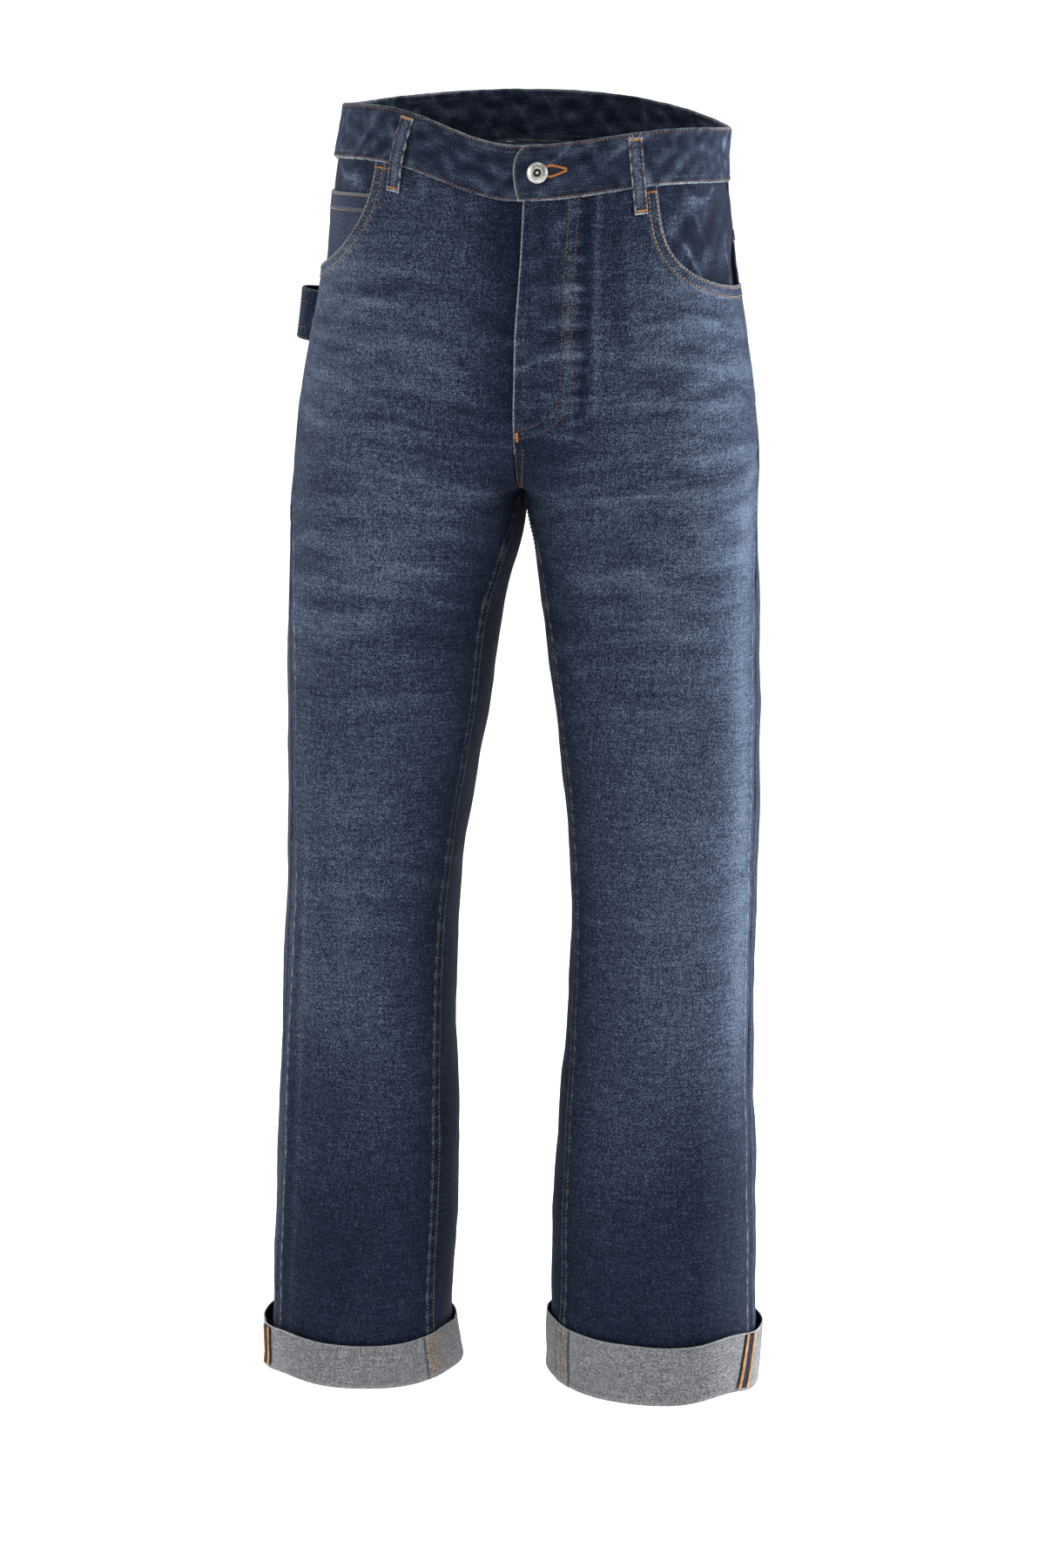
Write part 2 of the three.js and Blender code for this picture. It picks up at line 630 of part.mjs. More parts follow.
function button() {
  const points = [new THREE.Vector3(0, 0, 0), new THREE.Vector3(0, 0, BUTTON_TOP)];
  for (const [radius, height] of BUTTON_PROFILE) {
    for (const turn of shares(BUTTON_SEGMENTS).slice(1)) {
      const angle = turn * 2 * Math.PI;
      points.push(new THREE.Vector3(radius * Math.cos(angle), radius * Math.sin(angle), height));
    }
  }
  const at = (i, j) => 2 + i * BUTTON_SEGMENTS + (j % BUTTON_SEGMENTS);
  const faces = [];
  const last = BUTTON_PROFILE.length - 1;
  for (let j = 0; j < BUTTON_SEGMENTS; j++) {
    faces.push(0, at(0, j + 1), at(0, j), 1, at(last, j), at(last, j + 1));
    for (let i = 0; i < last; i++) {
      faces.push(at(i, j), at(i, j + 1), at(i + 1, j + 1), at(i, j), at(i + 1, j + 1), at(i + 1, j));
    }
  }
  const place = roundPlace(BUTTON_DEGREES, BAND_HEIGHT / 2, bandOut(BUTTON_DEGREES) + SEAM_GAP);
  const normal = skinNormal(place.side, place.angle, place.z);
  const geometry = facingOut(points, faces);
  geometry.applyQuaternion(new THREE.Quaternion().setFromUnitVectors(new THREE.Vector3(0, 0, 1), normal));
  geometry.translate(...skin(place.side, place.angle, place.z, place.out).toArray());
  return geometry;
}

const jeans = new THREE.Group();
jeans.name = "straight_leg_jeans";

function add(name, geometry, color, roughness = 0.85, metalness = 0) {
  const mesh = new THREE.Mesh(geometry, new THREE.MeshStandardMaterial({ color, roughness, metalness }));
  mesh.name = name;
  jeans.add(mesh);
}

const FADED = 0x4a5a70;
const DARK = 0x2e3b56;
const REVERSE = 0x7d828c;
const OCHRE = 0x8a6a3a;

add("waistband", waistband(), 0x35445f);
add("fly_shield", flyShield(), DARK);
add("coin_pocket", coinPocket(), 0x34425c);
add("hammer_loop", hammerLoop(), DARK);
for (const [side, word] of [[RIGHT, "right"], [LEFT, "left"]]) {
  add(`front_${word}`, frontPanel(side), FADED);
  add(`back_${word}`, backPanel(side), 0x3a4963);
  add(`yoke_${word}`, yoke(side), DARK);
  add(`facing_${word}`, pocketFacing(side), DARK);
  add(`back_pocket_${word}`, backPocket(side), 0x3a4963);
  add(`cuff_${word}`, cuff(side), REVERSE);
  add(`cuff_seam_${word}`, cuffSeam(side), OCHRE);
}
for (const [name, [top, bottom]] of Object.entries(BELT_LOOPS)) add(name, beltLoop(top, bottom), 0x35445f);
add("button", button(), 0xa9a8a6, 0.35, 1);

export default jeans;
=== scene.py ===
# Straight leg jeans with turned-up hems, worn and hollow.
#
# Lengths are millimetres until a mesh is made, which turns them into metres. +Z is up, +X is the
# wearer's left and the front faces -Y. Every piece of cloth is a thin shell on the garment's skin.

import math

import bpy
import numpy as np
from mathutils import Matrix, Vector


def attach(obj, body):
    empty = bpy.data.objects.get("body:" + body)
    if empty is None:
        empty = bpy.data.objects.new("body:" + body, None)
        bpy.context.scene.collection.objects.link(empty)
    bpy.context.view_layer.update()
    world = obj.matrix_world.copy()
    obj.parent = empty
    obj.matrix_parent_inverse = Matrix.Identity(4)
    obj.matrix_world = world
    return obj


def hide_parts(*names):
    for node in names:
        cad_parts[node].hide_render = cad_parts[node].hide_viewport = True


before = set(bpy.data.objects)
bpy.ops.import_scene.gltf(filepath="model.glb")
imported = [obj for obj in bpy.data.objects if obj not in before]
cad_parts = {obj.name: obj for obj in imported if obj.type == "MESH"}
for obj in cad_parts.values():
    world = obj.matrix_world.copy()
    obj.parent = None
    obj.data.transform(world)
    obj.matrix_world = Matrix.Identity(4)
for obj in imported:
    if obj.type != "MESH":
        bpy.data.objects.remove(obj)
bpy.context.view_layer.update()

MM = 0.001
DEG = math.pi / 180
RIGHT = -1
LEFT = 1
SIDES = [(RIGHT, "right"), (LEFT, "left")]
DENIM = 1.4
THIN = 1.2
BAND_THICK = 3.2
BAND_PROUD = 1.0
BAND_HEIGHT = 42.0
SEAM_GAP = 0.3
CUFF_GAP = 3.1
CUFF_FOLD = (CUFF_GAP + 2 * DENIM) / 2
CROTCH_Z = -267.0
HEM_Z = -1005.0

# Sections of the skin from the waist to the hem. "out" and "in" are the widest and the innermost reach
# from the middle plane on the wearer's right (R) and left (L). front and back are the foremost and
# rearmost Y, and seam and inseam say how many degrees in front of the two sides those run.
SECTION_COLUMNS = ["z", "outR", "inR", "outL", "inL", "front", "back", "seamR", "seamL", "inseam"]
SECTIONS = [
    [75, 146, 0, 154, 0, -97, 94, -4, -6, 0],
    [25, 150, 0, 152, 0, -102, 102, -4, -6, 0],
    [-15, 157, 0, 150.5, 0, -107, 110, -4, -7, 0],
    [-55, 161.5, 0, 155, 0, -110, 118, -4, -8, 0],
    [-100, 166.5, 0, 161, 0, -113, 126, -3, -8, 0],
    [-150, 175, 0, 170, 0, -114, 133, 0, -7, 0],
    [-210, 183, 0, 178.5, 0, -113, 135, 8, -5, 0],
    [-267, 187, 0.4, 181.5, 0.4, -108, 129, 18, 0, 8],
    [-310, 189, 4, 183, 8, -102, 120, 26, 7, 22],
    [-365, 190.5, 18, 186, 16, -97, 109, 31, 12, 26],
    [-440, 191, 27, 189, 27, -91, 99, 35, 15, 26],
    [-520, 189.5, 40, 191, 37.5, -87, 92, 36, 17, 25],
    [-616, 191, 50, 191, 44, -81, 84, 36, 17, 26],
    [-716, 194.5, 50, 192, 40.5, -76, 80, 36, 17, 30],
    [-830, 198, 46, 197.5, 34, -72, 77, 36, 17, 34],
    [-930, 200.5, 49, 200.5, 34, -70, 76, 34, 16, 34],
    [-965, 201, 49.5, 201, 34, -69, 76, 33, 15, 33],
    [-1005, 204, 44, 200.5, 35, -69, 77, 32, 14, 33],
]
# The y where a section is widest, at its outer side and its inner side, and how square its corners are
WIDEST_OUT_Y = 8.0
WIDEST_IN_Y = -14.0
SQUARE = 0.14
# The heights above the crotch over which one oval becomes two legs, in front and behind
FRONT_RISE_TURN = 92.0
BACK_RISE_TURN = 150.0
RISE_CURVE = 1.7
# The waistband's lower seam: its heights at the sides, in front and behind, and how late it drops
WAIST_SIDE_Z = {RIGHT: -14.5, LEFT: -27.5}
WAIST_FRONT_Z = -43.0
WAIST_BACK_Z = -1.0
WAIST_FRONT_POWER = {RIGHT: 11, LEFT: 8}
WAIST_BACK_POWER = 2.2

# Where the hems ride up round the legs: side, middle and half width in degrees, and rise
HEM_LIFTS = [(RIGHT, 18, 38, 10.5), (RIGHT, 131, 20, 5), (LEFT, 14, 42, 13), (LEFT, 136, 22, 8)]
HEM_LIFT_TOP = -855.0
HEM_LIFT_WHOLE = -950.0

# The large folds: side, then angle and height of each end, half width, and rise, below 0 for a trough
FOLDS = [
    (RIGHT, 8, -262, 84, -242, 9, -4.5),
    (RIGHT, 24, -288, 100, -264, 13, 2.6),
    (RIGHT, 40, -322, 112, -292, 12, -1.8),
    (LEFT, 16, -276, 92, -258, 10, -2.4),
    (LEFT, 30, -306, 104, -284, 14, 1.8),
    (RIGHT, 96, -60, 106, -236, 8, -2.6),
    (RIGHT, 158, -660, 160, -1004, 10, -3.2),
    (RIGHT, 136, -600, 139, -1004, 12, 2.2),
    (LEFT, 48, -700, 44, -1004, 11, 2.2),
    (LEFT, 116, -640, 118, -1004, 16, 2.0),
    (LEFT, 84, -720, 80, -1004, 14, -1.8),
    (RIGHT, 256, -318, 348, -286, 18, 3.4),
    (LEFT, 252, -324, 348, -290, 18, 3.0),
    (RIGHT, 236, -358, 340, -326, 17, -3.0),
    (LEFT, 232, -362, 340, -330, 17, -2.8),
    (RIGHT, 215, -575, 325, -550, 15, -3.5),
    (LEFT, 212, -571, 325, -555, 15, -3.8),
    (RIGHT, 225, -640, 325, -612, 16, 3.0),
    (LEFT, 220, -646, 322, -616, 16, 2.6),
    (RIGHT, 236, -900, 320, -884, 15, -2.5),
    (LEFT, 238, -904, 318, -890, 15, -2.5),
]
FOLD_RADIUS = 85.0
FOLD_FADE = 16.0

sections = dict(zip(SECTION_COLUMNS, np.array(SECTIONS, float).T))


def floats(*values):
    """The values as arrays of one shape."""
    return np.broadcast_arrays(*(np.asarray(value, float) for value in values))


def mix(a, b, share):
    return a + (b - a) * share


def ease(x):
    s = np.clip(x, 0.0, 1.0)
    return s * s * (3 - 2 * s)


def bell(x):
    return np.exp(-np.square(x))


def to_edge(share):
    """The share that is left to the nearer of two edges."""
    return np.minimum(share, 1 - share)


def column(name, z):
    """A column of the section table at any height, as a smooth curve through its rows."""
    z = np.asarray(z, float)
    heights = sections["z"]
    values = sections[name]
    last = len(heights) - 2
    i = np.clip(np.searchsorted(-heights, -z, side="right") - 1, 0, last)
    before = np.maximum(i - 1, 0)
    after = np.minimum(i + 2, last + 1)
    span = heights[i + 1] - heights[i]
    slope_a = (values[i + 1] - values[before]) / (heights[i + 1] - heights[before]) * span
    slope_b = (values[after] - values[i]) / (heights[after] - heights[i]) * span
    s = np.clip((z - heights[i]) / span, 0, 1)
    s2, s3 = s * s, s**3
    rise = (2 * s3 - 3 * s2 + 1) * values[i] + (s3 - 2 * s2 + s) * slope_a
    return rise + (3 * s2 - 2 * s3) * values[i + 1] + (s3 - s2) * slope_b


def side_column(name, side, z):
    return np.where(np.asarray(side) < 0, column(name + "R", z), column(name + "L", z))


def split(turn, z):
    """How far a section has split into two legs: 0 is one oval, and 1 is two that touch."""
    return np.clip(1 - (np.asarray(z) - CROTCH_Z) / turn, 0, 1) ** RISE_CURVE


def full_cos(angle):
    return np.cos(angle) * (1 + SQUARE * np.sin(angle) ** 2)


def full_sin(angle):
    return np.sin(angle) * (1 + SQUARE * np.cos(angle) ** 2)


def middle_of(side, z, is_front):
    """How far the middle of a leg's section is from the garment's middle plane."""
    outer = side_column("out", side, z)
    q = split(np.where(is_front, FRONT_RISE_TURN, BACK_RISE_TURN), z)
    legs = (outer + side_column("in", side, z)) / 2
    return np.where(np.asarray(z) > CROTCH_Z, q * outer / (1 + q), legs)


def hem_lift(side, angle, z):
    """How far the lower leg rides up where its hem does."""
    lift = 0.0
    for at_side, at_angle, wide, rise in HEM_LIFTS:
        away = (1 - np.cos(angle - at_angle * DEG)) / (1 - math.cos(wide * DEG))
        lift = lift + np.where(side == at_side, rise * np.exp(-away), 0.0)
    return lift * ease((HEM_LIFT_TOP - z) / (HEM_LIFT_TOP - HEM_LIFT_WHOLE))


def plain_skin(side, angle, z):
    """Points without folds: 0 is the innermost, 90 degrees the front, 180 the outer side, 270 the back."""
    side, angle, z = floats(side, angle, z)
    is_front = np.sin(angle) >= 0
    middle = middle_of(side, z, is_front)
    half = side_column("out", side, z) - middle
    widest_y = mix(WIDEST_IN_Y, WIDEST_OUT_Y, (1 - np.cos(angle)) / 2)
    reach = np.where(is_front, widest_y - column("front", z), column("back", z) - widest_y)
    x = side * (middle - half * full_cos(angle))
    return np.stack([x, widest_y - reach * full_sin(angle), z + hem_lift(side, angle, z)], axis=-1)


def drape(side, angle, z):
    """How far the large folds put the cloth out."""
    side, angle, z = floats(side, angle, z)
    out = np.zeros(angle.shape)
    for fold_side, angle0, z0, angle1, z1, across, rise in FOLDS:
        wide = (angle1 - angle0) * DEG * FOLD_RADIUS
        high = z1 - z0
        long = math.hypot(wide, high)
        x = (angle - angle0 * DEG) * FOLD_RADIUS
        y = z - z0
        off = (x * high - y * wide) / long
        along = np.clip(2 * (x * wide + y * high) / long**2 - 1, -1, 1)
        out += np.where(side == fold_side, rise * bell(off / across) * (1 - along**2) ** 1.2, 0.0)
    return out


def skin(side, angle, z, out=0.0):
    """Points of the skin with its folds, moved out by a distance, and its normals before the folds."""
    side, angle, z = floats(side, angle, z)
    around = plain_skin(side, angle + 0.012, z) - plain_skin(side, angle - 0.012, z)
    up = plain_skin(side, angle, z + 1.5) - plain_skin(side, angle, z - 1.5)
    normals = np.cross(around, up) * side[..., None]
    normals /= np.linalg.norm(normals, axis=-1, keepdims=True)
    points = plain_skin(side, angle, z)
    fold = drape(side, angle, z) * ease(side * points[..., 0] / FOLD_FADE)
    return points + normals * (fold + out)[..., None], normals


def angle_at(side, z, reach, is_front=True):
    """The angle where the skin is so far from the middle plane, between the inner side and the outer."""
    middle = middle_of(side, z, is_front)
    target = (middle - reach) / (side_column("out", side, z) - middle)
    low = np.zeros(np.broadcast(target).shape)
    high = np.full(low.shape, math.pi)
    for _ in range(40):
        half = (low + high) / 2
        inside = full_cos(half) > target
        low = np.where(inside, half, low)
        high = np.where(inside, high, half)
    return (low + high) / 2


def outseam_angle(side, z):
    return math.pi - side_column("seam", side, z) * DEG


def inseam_angle(z):
    return column("inseam", z) * DEG


def front_start(side, z):
    return np.where(z > CROTCH_Z, angle_at(side, z, 0.0, True), inseam_angle(z))


def back_end(side, z):
    return 2 * math.pi + np.where(z > CROTCH_Z, -angle_at(side, z, 0.0, False), inseam_angle(z))


def waist_z(side, angle):
    """Height of the waistband's lower seam."""
    to_front = np.sin(angle)
    is_right = np.asarray(side) < 0
    start = np.where(is_right, WAIST_SIDE_Z[RIGHT], WAIST_SIDE_Z[LEFT])
    power = np.where(is_right, WAIST_FRONT_POWER[RIGHT], WAIST_FRONT_POWER[LEFT])
    front = mix(start, WAIST_FRONT_Z, np.clip(to_front, 0, 1) ** power)
    back = mix(start, WAIST_BACK_Z, np.clip(-to_front, 0, 1) ** WAIST_BACK_POWER)
    return np.where(to_front > 0, front, back)


# Panels are laid out in shares: t runs across one, and h runs down it, from 0 at the waist through 1 at
# the crotch to 2 at the hem.
def height_at(side, waist_angle, h):
    return np.where(h > 1, mix(CROTCH_Z, HEM_Z, h - 1), mix(waist_z(side, waist_angle), CROTCH_Z, h))


def front_place(side, t, h):
    z = height_at(side, mix(math.pi / 2, outseam_angle(side, 0.0), t), h)
    return mix(front_start(side, z), outseam_angle(side, z), t), z


def back_place(side, t, h):
    z = height_at(side, mix(outseam_angle(side, 0.0), math.pi * 1.5, t), h)
    return mix(outseam_angle(side, z), back_end(side, z), t), z


def round_place(degrees, above):
    """Side, angle and height by the degrees round the waist from the front, to the wearer's right first."""
    turn = np.mod(degrees, 360.0)
    side = np.where(turn <= 180, RIGHT, LEFT)
    angle = (90 + np.where(turn <= 180, turn, 360 - turn)) * DEG
    return side, angle, waist_z(side, angle) + above


WIDTH_H = np.linspace(0, 2, 81)
WIDTH_T = np.linspace(0, 1, 61)


def widths_of(place, side):
    angle, z = place(side, WIDTH_T[None, :], WIDTH_H[:, None])
    return np.linalg.norm(np.diff(plain_skin(side, angle, z), axis=1), axis=-1).sum(axis=1)


panel_widths = {}
for place in (front_place, back_place):
    for side in (RIGHT, LEFT):
        panel_widths[place, side] = widths_of(place, side)
RISE_LONG = 232.0
LEG_LONG = CROTCH_Z - HEM_Z


def panel_mm(place, side, t, h):
    """Millimetres across and down a panel at a place on it, and the panel's width there."""
    width = np.interp(h, WIDTH_H, panel_widths[place, side])
    return t * width, np.where(h < 1, h * RISE_LONG, RISE_LONG + (h - 1) * LEG_LONG), width


# The cloth's grain runs straight down the middle of each leg
GRAIN_X = 112.0
GRAIN_Z = np.linspace(85, -1030, 112)
GRAIN_ANGLES = np.linspace(0, 1.2 * math.tau, 217)


def grain_table(side, is_front):
    """Millimetres round the skin at each height and angle, from the grain line."""
    heights = np.broadcast_to(GRAIN_Z[:, None], (len(GRAIN_Z), len(GRAIN_ANGLES)))
    steps = np.linalg.norm(np.diff(plain_skin(side, GRAIN_ANGLES[None, :], heights), axis=1), axis=-1)
    around = np.concatenate([np.zeros((len(GRAIN_Z), 1)), np.cumsum(steps, axis=1)], axis=1)
    start = angle_at(side, GRAIN_Z, GRAIN_X, is_front)
    if not is_front:
        start = math.tau - start
    at_start = [np.interp(a, GRAIN_ANGLES, row) for a, row in zip(start, around)]
    return around - np.asarray(at_start)[:, None]


grain_tables = {(side, front): grain_table(side, front) for side in (RIGHT, LEFT) for front in (True, False)}


def grain_places(side, angle, z, is_front, layer):
    table = grain_tables[side, is_front]
    row = np.clip((GRAIN_Z[0] - z) / (GRAIN_Z[0] - GRAIN_Z[1]), 0, len(GRAIN_Z) - 1.001)
    step = np.clip(angle / GRAIN_ANGLES[1], 0, len(GRAIN_ANGLES) - 1.001)
    i, j = row.astype(int), step.astype(int)
    upper = mix(table[i, j], table[i, j + 1], step - j)
    lower = mix(table[i + 1, j], table[i + 1, j + 1], step - j)
    return cloth_places(mix(upper, lower, row - i), -z, layer)


def wavy(u, v, size, seed):
    """A smooth random height between about -1 and 1, over lengths of about the size."""
    rng = np.random.default_rng(seed)
    total = 0.0
    for _ in range(9):
        turn, phase, stretch = rng.uniform(0, math.tau), rng.uniform(0, math.tau), rng.uniform(0.7, 1.5)
        along = u * math.cos(turn) + v * math.sin(turn)
        total = total + np.sin(along * stretch * math.tau / size / 1.7 + phase)
    return total / 4.2


def crinkles(u, v, size, seed):
    """Thin lines, broken up, between 0 and 1: worn lines, and on the facings partly painted highlights."""
    lines = bell(wavy(u, v, size, seed) / 0.15) * (0.5 + 0.5 * wavy(v, u, size * 0.8, seed + 1))
    return np.clip(lines, 0, 1)


def streak(u, v, start, end, width):
    """1 along a line from start to end, falling away to its sides and towards its ends."""
    wide, high = end[0] - start[0], end[1] - start[1]
    long = math.hypot(wide, high)
    x, y = u - start[0], v - start[1]
    along = np.clip(2 * (x * wide + y * high) / long**2 - 1, -1, 1)
    return bell((x * high - y * wide) / long / width) * (1 - along**2) ** 0.7


# Front pocket mouths, in shares of the panel: where each starts and ends, and how square its curve is
MOUTH_WAIST_T = {RIGHT: 0.44, LEFT: 0.4}
MOUTH_SIDE_H = {RIGHT: 0.335, LEFT: 0.33}
MOUTH_POWER = {RIGHT: 2.6, LEFT: 3.6}
MOUTH_GAPE = 1.6
MOUTH_HEM = 9.5
PANEL_WIDE = 230.0

# The fly's double cloth, its edge on the left front (X at each Z), and where the band's end laps over
FLY_LIFT = 2.4
FLY_WIDTH_T = 0.3
FLY_END_H = 0.82
FLY_EDGE_Z = [-220, -200, -144, -118, -91, -43]
FLY_EDGE_X = [0, 0, 0.2, 1.6, 3.1, 4.5]
UNDER_FLY = 4.0
OVER_RISES = 322.0
OVER_FULL = 345.0
# The curved stitching of the fly: X and Z of its two rows
FLY_ROWS = [
    [(39.6, -40), (38, -80), (36.3, -118), (36.3, -182), (33.5, -196), (26, -205), (15, -211), (2.9, -215.5)],
    [(46.6, -40), (45, -80), (43.9, -118), (42.9, -186), (39, -201), (30, -211), (17, -217.5), (3.6, -221.5)],
]

# Worn streaks and small creases on the fronts: t and h of each end, half width in millimetres, how much
# paler (or darker, below 0) the cloth is, and how far it stands out. Three scales set how strong they are.
CREASE_WIDTH = 0.65
CREASE_PALER = 0.85
CREASE_RISE = 0.9
CREASES = {
    RIGHT: [
        (0.10, 0.20, 0.62, 0.27, 5, 0.16, 0.3),
        (0.06, 0.29, 0.80, 0.34, 6, 0.26, 0.5),
        (0.12, 0.35, 0.86, 0.405, 4, -0.20, -0.5),
        (0.10, 0.40, 0.84, 0.45, 7, 0.30, 0.6),
        (0.14, 0.47, 0.92, 0.515, 4, -0.18, -0.5),
        (0.13, 0.52, 0.90, 0.565, 6, 0.24, 0.5),
        (0.08, 0.60, 0.93, 0.635, 4.5, -0.20, -0.6),
        (0.12, 0.66, 0.90, 0.69, 7, 0.26, 0.6),
        (0.08, 0.76, 0.86, 0.745, 5, -0.16, -0.5),
        (0.10, 0.83, 0.84, 0.81, 8, 0.22, 0.6),
        (0.12, 0.92, 0.80, 0.885, 5, -0.14, -0.4),
        (0.16, 0.985, 0.86, 0.95, 8, 0.18, 0.5),
        (0.22, 1.035, 0.84, 1.012, 5, -0.12, -0.4),
        (0.25, 1.075, 0.88, 1.05, 9, 0.14, 0.4),
        (0.35, 1.21, 0.92, 1.19, 9, -0.10, -0.4),
        (0.30, 1.33, 0.86, 1.35, 10, 0.08, 0.3),
        (0.02, 0.20, 0.17, 0.06, 4, -0.16, -0.9),
        (0.03, 0.33, 0.20, 0.16, 4, 0.14, 0.8),
        (0.02, 0.44, 0.20, 0.27, 4.5, -0.18, -1.0),
        (0.02, 0.55, 0.18, 0.38, 4, 0.12, 0.8),
        (0.02, 0.66, 0.19, 0.49, 4.5, -0.16, -1.0),
        (0.02, 0.76, 0.18, 0.61, 4, 0.10, 0.7),
        (0.01, 0.86, 0.16, 0.72, 4.5, -0.12, -0.8),
    ],
    LEFT: [
        (0.24, 0.17, 0.42, 0.30, 6, 0.12, 0.5),
        (0.22, 0.29, 0.92, 0.40, 6, 0.20, 0.5),
        (0.30, 0.375, 0.94, 0.455, 4, -0.24, -0.6),
        (0.22, 0.41, 0.97, 0.50, 5.5, 0.34, 0.6),
        (0.26, 0.50, 0.96, 0.575, 4, -0.24, -0.6),
        (0.20, 0.53, 0.97, 0.63, 6, 0.34, 0.7),
        (0.24, 0.63, 0.96, 0.695, 4.5, -0.22, -0.6),
        (0.19, 0.68, 0.95, 0.74, 6, 0.30, 0.7),
        (0.18, 0.78, 0.92, 0.795, 4.5, -0.18, -0.5),
        (0.15, 0.86, 0.90, 0.85, 7, 0.26, 0.6),
        (0.18, 0.955, 0.86, 0.905, 5, -0.14, -0.5),
        (0.24, 1.005, 0.90, 0.96, 7, 0.24, 0.6),
        (0.28, 1.04, 0.80, 1.012, 5, -0.12, -0.4),
        (0.22, 1.09, 0.90, 1.05, 8, 0.18, 0.5),
        (0.30, 1.17, 0.90, 1.14, 9, -0.08, -0.4),
        (0.30, 1.24, 0.88, 1.215, 10, 0.12, 0.4),
        (0.26, 1.34, 0.86, 1.36, 10, 0.06, 0.3),
        (0.25, 0.10, 0.27, 0.62, 5, -0.12, -0.6),
        (0.29, 0.06, 0.31, 0.58, 5, 0.12, 0.5),
    ],
}
# How much of the dye has worn off down a front, and where across it that is centred
FADE_H = [0, 0.15, 0.35, 0.6, 0.9, 1.05, 1.2, 1.32, 1.47, 1.58, 1.68, 1.78, 1.9, 2.0]
FADE_BY_H = [0.28, 0.34, 0.42, 0.47, 0.45, 0.44, 0.43, 0.46, 0.48, 0.44, 0.25, 0.04, -0.08, -0.12]
FADE_CENTRE = [0.5, 0.5, 0.5, 0.5, 0.52, 0.56, 0.6, 0.62, 0.62, 0.6, 0.55, 0.5, 0.5, 0.5]
FADE_HALF = [0.9, 0.8, 0.62, 0.58, 0.52, 0.46, 0.42, 0.40, 0.40, 0.42, 0.5, 0.6, 0.7, 0.8]


def lap_rise(degrees):
    """How far the band's over-lapping end stands out, by the degrees round the waist."""
    return (BAND_THICK + SEAM_GAP) * ease((degrees - OVER_RISES) / (OVER_FULL - OVER_RISES))


def mouth_edge(side, share):
    """t and h along a pocket's mouth, by the share of the way from the waist to the outseam."""
    turn = (1 - np.cos(share * math.pi)) / 2 * (math.pi / 2)
    power = 2 / MOUTH_POWER[side]
    across = (1 - MOUTH_WAIST_T[side]) * np.clip(np.cos(turn), 0, 1) ** power
    return 1 - across, MOUTH_SIDE_H[side] * np.sin(turn) ** power


def mouth_distance(side, t, h):
    """Millimetres from a place on a front to the mouth of its pocket."""
    edge_t, edge_h = mouth_edge(side, np.linspace(0, 1, 160))
    u, v = np.asarray(t) * PANEL_WIDE, np.asarray(h) * RISE_LONG
    near = np.full(np.broadcast(u, v).shape, 1e9)
    for edge_u, edge_v in zip(edge_t * PANEL_WIDE, edge_h * RISE_LONG):
        near = np.minimum(near, np.hypot(u - edge_u, v - edge_v))
    return near


def front_creases(side, t, h):
    """The sums of a front's streaks: how much paler they make it, and how far they stand out."""
    u, v, _ = panel_mm(front_place, side, t, h)
    total_paler, total_rise = 0.0, 0.0
    for t0, h0, t1, h1, width, paler, rise in CREASES[side]:
        start = panel_mm(front_place, side, t0, h0)
        end = panel_mm(front_place, side, t1, h1)
        wobble = 3.5 * wavy(u, v, 60, int(1000 * h0))
        line = streak(u, v + wobble, start, end, width * CREASE_WIDTH)
        total_paler = total_paler + line * paler * CREASE_PALER
        total_rise = total_rise + line * rise * CREASE_RISE
    return total_paler, total_rise


def seam_details(u, v, is_felled, seed, row=5.4):
    """Rise and wear beside a leg's seam at u = 0: its turned-in layers, and puckers along its stitching."""
    beat = np.sin(v / 2.1 + 2.2 * wavy(v, v * 0.3, 30, seed))
    if is_felled:
        rise = 0.75 * ease((10.2 - u) / 1.6) * ease(u / 0.8) + 0.24 * beat * bell((u - 5.4) / 3.4)
        worn = 0.34 * bell((u - 0.9) / 0.9) + 0.34 * bell((u - 9.8) / 0.9)
        return rise, worn * (0.75 + 0.35 * beat) + 0.22 * beat * bell((u - 5.4) / 3.0)
    rise = 0.55 * bell((u - row) / 2.3) - 0.2 * bell(u / 1.3) + 0.12 * beat * bell((u - 4.5) / 4)
    worn = 0.5 * bell(u - row) - 0.5 * bell((u - row + 3) / 1.6) + 0.2 * bell((u - 0.6) / 0.8)
    return rise, worn * (0.75 + 0.4 * beat)


def bent_down(side, u, v):
    """Millimetres down a front, bent a little, for lines that are almost level."""
    return v + 9 * wavy(u, v, 130, 63 + side)


def thigh_lines(side, u, v, h):
    """Fine level lines, between about -1 and 1, where the thighs crease, and a few at the knees."""
    bent = bent_down(side, u, v)
    thighs = ease((h - 0.25) / 0.2) * ease((1.32 - h) / 0.2)
    knees = 0.5 * bell((h - 1.42) / 0.1)
    lines = wavy(u * 0.12, bent, 13, 65 + side) + 0.6 * wavy(u * 0.16, bent, 6, 67 + side)
    return lines * (thighs + knees)


def fly_beat(u, v):
    """Puckers down the fly's curved stitching, between -1 and 1."""
    return np.sin(v / 1.7 + 1.5 * wavy(u, v, 20, 33))


